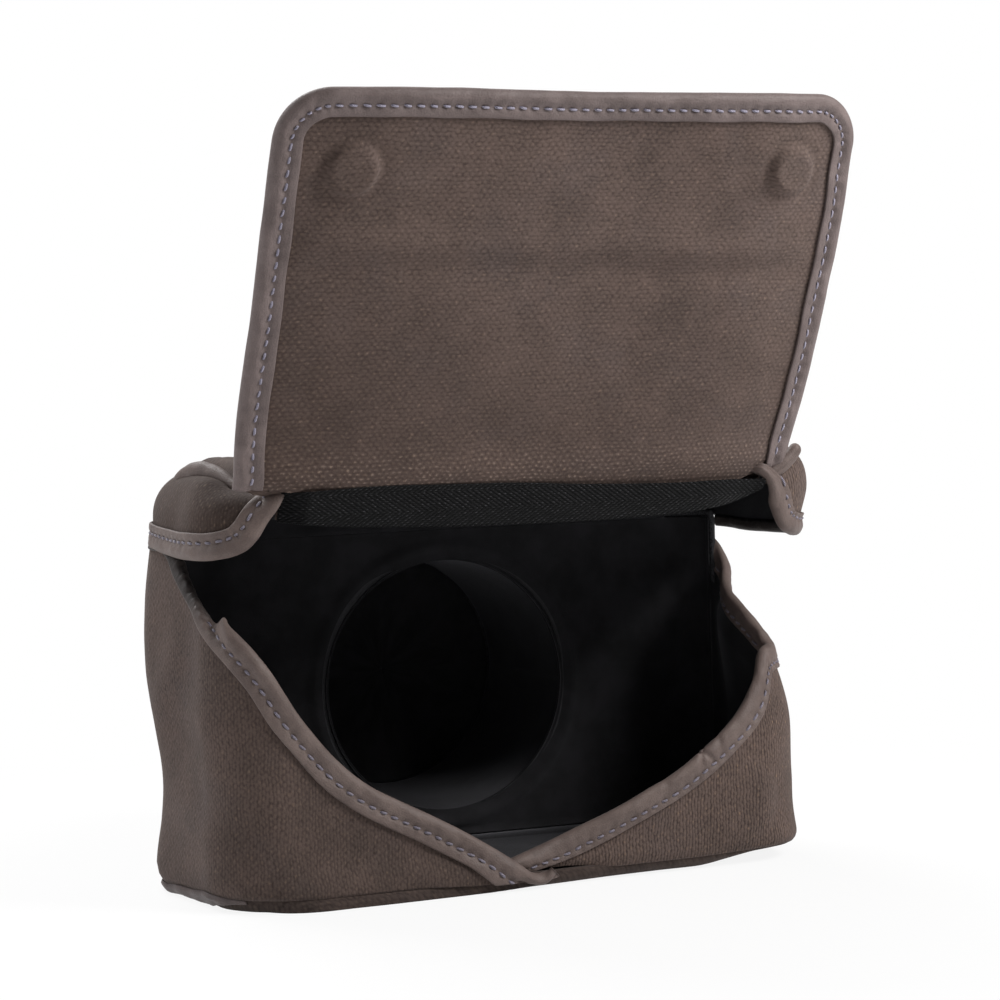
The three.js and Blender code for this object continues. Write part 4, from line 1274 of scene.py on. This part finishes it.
def barrel_cap():
    """The barrel's domed end."""
    end = HALF_DEPTH + LENS_REACH
    flat = LENS_RADIUS - LENS_TAPER - LENS_ROUND
    face = end + GAP + LENS_ROUND

    def cap_line(depth):
        angle = np.linspace(0, np.pi / 2, 16)
        r = LENS_ROUND - depth
        bend = stacked(flat + r * np.cos(angle), end + GAP + r * np.sin(angle))
        root = np.array([[bend[0, 0] - 0.7, end + 0.02], [bend[0, 0] - 0.3, end + 0.1]])
        t = np.linspace(1, INNERMOST, 26)[1:]
        crown = stacked(flat * t, face - depth + LENS_CROWN * (1 - t ** 2.2))
        return np.concatenate([root, bend, crown])

    turned("lens_cap", cap_line(CANVAS)[::-1], cap_line(0), canvas_skin, flat=True)
    for name, (depth, thickness), look in (
        ("lens_cap_foam", FOAM_LAYER, foam_skin),
        ("lens_cap_lining", LINING_LAYER, lining_skin),
    ):
        t = np.linspace(1, INNERMOST, 16)
        r = LENS_ROUND - depth
        wide = flat + r * 0.75
        rise = np.sqrt(np.clip(1 - ((wide * t - flat) / r).clip(0, 1) ** 2, 0, 1)) - 1
        outer = stacked(wide * t, face - depth + r * rise)
        turned(name, outer, outer[::-1] - (0, thickness), look)


# Flap
def flap_grid(trim, foot, fine=1.4):
    half, top, radius = FLAP_WIDTH / 2 - trim, FLAP_LENGTH - trim, FLAP_CORNER - trim
    z = np.concatenate([np.arange(foot, top - radius, fine), np.linspace(top - radius, top, 22)])
    over = np.clip(z - (top - radius), 0, radius)
    width = half - radius + np.sqrt(np.clip(radius ** 2 - over ** 2, 0, None))
    t = np.linspace(-1, 1, 2 * int(half / fine) + 1)
    return width[:, None] * t[None], np.broadcast_to(z[:, None], (len(z), len(t)))


def bump_rise(x, z):
    """How far the inner canvas stands up over the magnets, with a dished top."""
    r = np.hypot(np.abs(x) - MAGNET_X, z - MAGNET_UP)
    plateau = 1 - smooth(MAGNET_RADIUS, MAGNET_RADIUS + 1.7, r)
    return (BUMP_RISE - 0.3 * bell(r, 0, 3.6)) * plateau - 0.18 * bell(r, MAGNET_RADIUS + 2.4, 0.9)


def flap_edge_distance(x, z):
    """How far a point of the flap is from its free edges."""
    half, over = FLAP_WIDTH / 2 - np.abs(x), FLAP_LENGTH - z
    corner = FLAP_CORNER - np.hypot(FLAP_CORNER - half, FLAP_CORNER - over)
    inside = (half < FLAP_CORNER) & (over < FLAP_CORNER)
    return np.where(inside, corner, np.minimum(half, over))


# How far the flap's layers stop short of its edge, and where each starts over the fold
INNER_TRIM, INNER_FOOT = 1.6, -2.4
BOARD_TRIM, BOARD_FOOT = 7.0, 5.0
OUTER_TRIM, OUTER_FOOT = 3.2, 0.6


def flap_inner():
    x, z = flap_grid(INNER_TRIM, INNER_FOOT, 0.8)
    foot = 0.5 * smooth(0, -20, x) + 2.0 * smooth(54, 61, x) + 3.4 * smooth(-59, -62.5, x)
    z = np.where(z < 4, np.maximum(z, INNER_FOOT + foot), z)
    rise = bump_rise(x, z)
    turned_back = tucked(np.minimum(x, 0)) * smooth(4, -1, z) * smooth(-64, -60, x)
    sheets = [flap_point(x, z, depth - rise) + stacked(0, turned_back, 0) for depth in (0, CANVAS)]
    shell("flap_inner", *sheets, x, z, flap_skin, bend=True)


def flap_board():
    x, z = flap_grid(BOARD_TRIM, BOARD_FOOT)
    sheets = [flap_point(x, z, depth) for depth in (CANVAS + GAP, CANVAS + GAP + BOARD)]
    shell("flap_board", *sheets, x, z, board_skin, body="flap")


# The outer canvas' lip: how far it lies behind the walls, and over the hood's edge and the tape's
LIP_BEHIND = 0.9
LIP_OVER_HOOD = 1.4
LIP_OVER_TAPE = 1.6


def flap_outer():
    """The outer canvas, with a lip that goes down behind the tape to the hood's edge."""
    x, z = flap_grid(OUTER_TRIM, OUTER_FOOT)
    depth = FLAP_SECTION.thick(flap_edge_distance(x, z)) - CANVAS
    rows, down = 7, 8
    t = np.linspace(0, 1, rows + 1)[:-1, None]
    bend = smooth(0.55, 1.0, t)[..., None]
    across = x[0] * (BACK - 0.6) / x[0].max()
    lip_y = tucked(across) - HALF_DEPTH - LIP_BEHIND
    lip_z = np.maximum(HOOD_LIP + LIP_OVER_HOOD, through(across, TAPE_LOW) + LIP_OVER_TAPE)
    sheets = []
    for under in (0.0, CANVAS):
        sheet = flap_point(x, z, depth + under)
        strip = stacked(across, lip_y + under, lip_z) * (1 - bend) + sheet[:1] * bend
        strip[..., 2] = lip_z * (1 - t) + sheet[:1, :, 2] * t
        sheets.append(np.concatenate([strip, sheet]))
    z = np.concatenate([np.linspace(z[0] - down, z[0], rows + 1)[:-1], z])
    x = np.concatenate([np.repeat(x[:1], rows, 0), x])
    shell("flap_outer", *sheets, x + 11, z + 5, canvas_skin, bend=True)


def flap_edge():
    """The binding round the flap's three free edges."""
    half, up, r = FLAP_WIDTH / 2, FLAP_LENGTH - FLAP_CORNER, FLAP_CORNER
    turn = np.linspace(0, np.pi / 2, 30)
    left = stacked(r - half - r * np.cos(turn), up + r * np.sin(turn))
    right = stacked(half - r + r * np.sin(turn), up + r * np.cos(turn))
    line = resampled(np.concatenate([[(-half, 1.5)], left, right, [(half, 0.8)]]), LINE_STEP)
    bind_edge(
        "flap_binding", line, -1, FLAP_SECTION, flap_point, flap_leather, flap_thread, ends=(0.2, 0.2),
        sewn_from=2.2, sewn_to=4.4, hidden=9.0, body="flap", bend=True
    )


# A flap magnet's outline: its radius and its depth in the flap
MAGNET_LINE = (
    (0.02, 0.75), (4.5, 0.75), (MAGNET_RADIUS, 0.9), (MAGNET_RADIUS, 2.1), (4.5, 2.25), (0.02, 2.25)
)


def flap_magnets():
    angle = np.linspace(0, 2 * np.pi, 48, endpoint=False)
    r, depth = np.array(MAGNET_LINE).T[..., None]
    faces = grid_faces(len(r), len(angle), 0, True, True)
    for side, name in SIDES:
        x, z = side * MAGNET_X + r * np.cos(angle), MAGNET_UP + r * np.sin(angle)
        points = flap_point(x, z, depth)
        make("flap_magnet_" + name, points, faces, stacked(x, z, 0.0), metal_skin, body="flap")


# Leather rolls at the flap's lower corners: their middles and their radii
ROLLS = {
    -1: (
        (-64.3, -21.5, 92.8, 1.0), (-66.4, -13.5, 94.8, 1.5), (-67.5, -9.0, 96.4, 2.0),
        (-68.6, -4.4, 97.4, 2.25), (-69.4, -1.4, 97.8, 2.3), (-70.2, 1.6, 97.7, 2.15),
        (-71.1, 5.0, 97.0, 1.8), (-72.0, 8.7, 95.8, 1.3), (-72.0, 13.0, 93.6, 0.8)
    ),
    1: (
        (60.5, -28.0, 91.0, 0.9), (62.8, -27.8, 92.8, 1.4), (65.6, -27.6, 94.8, 1.8),
        (68.0, -27.4, 96.7, 1.7), (69.6, -27.4, 98.7, 1.55), (70.1, -27.4, 99.3, 1.45)
    ),
}


# A roll's width as a share of its height
ROLL_WIDTH = 0.8


def piping():
    steps, around = 60, 24
    for side, name in SIDES:
        knots = np.array(ROLLS[side])
        at = lengths(knots[:, :3])
        run = np.linspace(0, at[-1], steps)[:, None]
        path = np.concatenate([through(run, np.stack([at, column], -1)) for column in knots.T], -1)
        middle, radius = path[:, :3], path[:, 3:]
        to_end = np.clip(1 - (run[-1] - run) / radius[-1], 0, 1)
        radius = radius * np.sqrt(np.clip(1 - to_end ** 2, 0.004, 1))
        forward = np.gradient(middle, axis=0)
        forward /= np.linalg.norm(forward, axis=1)[:, None]
        across = np.cross(forward, (0, 0, 1.0))
        across /= np.linalg.norm(across, axis=1)[:, None]
        over = np.cross(across, forward)
        angle = np.linspace(0, 2 * np.pi, around, endpoint=False)
        size = radius * (1 + 0.04 * ripple(run, angle * 2, 5, 95))
        sideways, upwards = ROLL_WIDTH * np.cos(angle), np.sin(angle)
        ring = across[:, None] * sideways[:, None] + over[:, None] * upwards[:, None]
        points = middle[:, None] + ring * size[..., None]
        cloth = stacked(run, angle * 1.5, 0.0)
        make("hood_piping_" + name, points, tube_faces(steps, around), cloth, case_leather)


for side, name in SIDES:
    wing(side, name)
    ear(side, name)
front()
base()
base_bindings()
hood()
barrel()
barrel_cap()
flap_inner()
flap_board()
flap_outer()
flap_edge()
flap_magnets()
hinge_tape()
piping()

for name in ("wing_magnet_left", "wing_magnet_right"):
    node = frame["nodes"][name]
    node.data.materials.clear()
    node.data.materials.append(metal_skin.material)


# Studio
WHITE = (1, 1, 1, 1)
WORLD_LIGHT = 0.12
FLOOR_REACH = 6.0
# Each light: its place, size, power and colour
LIGHTS = {
    "key": ((0.31, -0.31, 0.40), 0.24, 3.2, (1.0, 0.985, 0.97)),
    "side": ((-1.0, 0.2, 0.45), 0.8, 4.2, (0.97, 0.98, 1.0)),
    "back": ((-0.2, 0.7, 0.9), 0.7, 13.0, (1.0, 1.0, 1.0)),
}
AIM = Vector((0, 0, 0.07))


def placed(name, data):
    made = bpy.data.objects.new(name, data)
    bpy.context.scene.collection.objects.link(made)
    return made


def floor_look():
    """White paper, which glows towards the camera so that it runs into the white world."""
    look = Look("floor_paper", Roughness=0.55, Specular_IOR_Level=0.3)
    place = look.node("ShaderNodeTexCoord").outputs["Object"]
    grain = look.noise(300.0, 3.0, at=place)
    colour = look.mix(grain, (0.86, 0.86, 0.865, 1), (0.88, 0.88, 0.885, 1))
    look.finish(colour, look.remap(grain, 0, 1, 0.5, 0.6), look.bump(grain, 0.02, 0.2))
    glow = look.fed("ShaderNodeEmission", (WHITE, 1.0))
    away = look.fed("ShaderNodeVectorMath", [place], operation="LENGTH")["Value"]
    far = look.remap(away, 0.1, 0.24, 0.88, 1.0)
    path = look.node("ShaderNodeLightPath").outputs
    direct = look.math("MAXIMUM", path["Is Camera Ray"], path["Is Glossy Ray"])
    direct = look.math("MAXIMUM", direct, path["Is Transmission Ray"])
    share = look.math("MULTIPLY", far, direct)
    both = look.fed("ShaderNodeMixShader", (share, look.shader.outputs[0], glow[0]))
    look.join(both[0], look.out.inputs["Surface"])
    return look


def floor():
    mesh = bpy.data.meshes.new("floor")
    corners = [(x * FLOOR_REACH, y * FLOOR_REACH, 0) for x, y in ((-1, -1), (1, -1), (1, 1), (-1, 1))]
    mesh.from_pydata(corners, [], [(0, 1, 2, 3)])
    mesh.materials.append(floor_look().material)
    placed("floor", mesh)


def world():
    """White to the camera, and dim to everything else."""
    made = bpy.data.worlds.new("studio")
    bpy.context.scene.world = made
    made.use_nodes = True
    nodes, links = made.node_tree.nodes, made.node_tree.links
    nodes.clear()
    path = nodes.new("ShaderNodeLightPath")
    blend = nodes.new("ShaderNodeMixShader")
    out = nodes.new("ShaderNodeOutputWorld")
    links.new(path.outputs["Is Camera Ray"], blend.inputs[0])
    for socket, strength in ((blend.inputs[1], WORLD_LIGHT), (blend.inputs[2], 1.0)):
        back = nodes.new("ShaderNodeBackground")
        back.inputs["Color"].default_value = WHITE
        back.inputs["Strength"].default_value = strength
        links.new(back.outputs[0], socket)
    links.new(blend.outputs[0], out.inputs["Surface"])


def lights():
    for name, (place, size, power, colour) in LIGHTS.items():
        light = bpy.data.lights.new(name, "AREA")
        light.size = size
        light.energy = power
        light.color = colour
        lamp = placed(name, light)
        lamp.location = place
        lamp.rotation_euler = (AIM - Vector(place)).to_track_quat("-Z", "Y").to_euler()


def camera():
    """The photo's own view, worked out from the case's parallel edges."""
    made = bpy.data.cameras.new("view")
    made.lens = 114.12
    made.sensor_width = 36.0
    made.clip_start = 0.05
    seat = placed("view", made)
    right = Vector((0.91530, -0.40205, -0.02403))
    up = Vector((0.04540, 0.04372, 0.99801))
    back = Vector((-0.40020, -0.91457, 0.05827))
    turn = Matrix((right, up, back)).transposed()
    seat.matrix_world = Matrix.Translation((-0.29584, -0.68659, 0.13161)) @ turn.to_4x4()
    bpy.context.scene.camera = seat


floor()
world()
lights()
camera()
bpy.context.scene.view_settings.view_transform = "Standard"
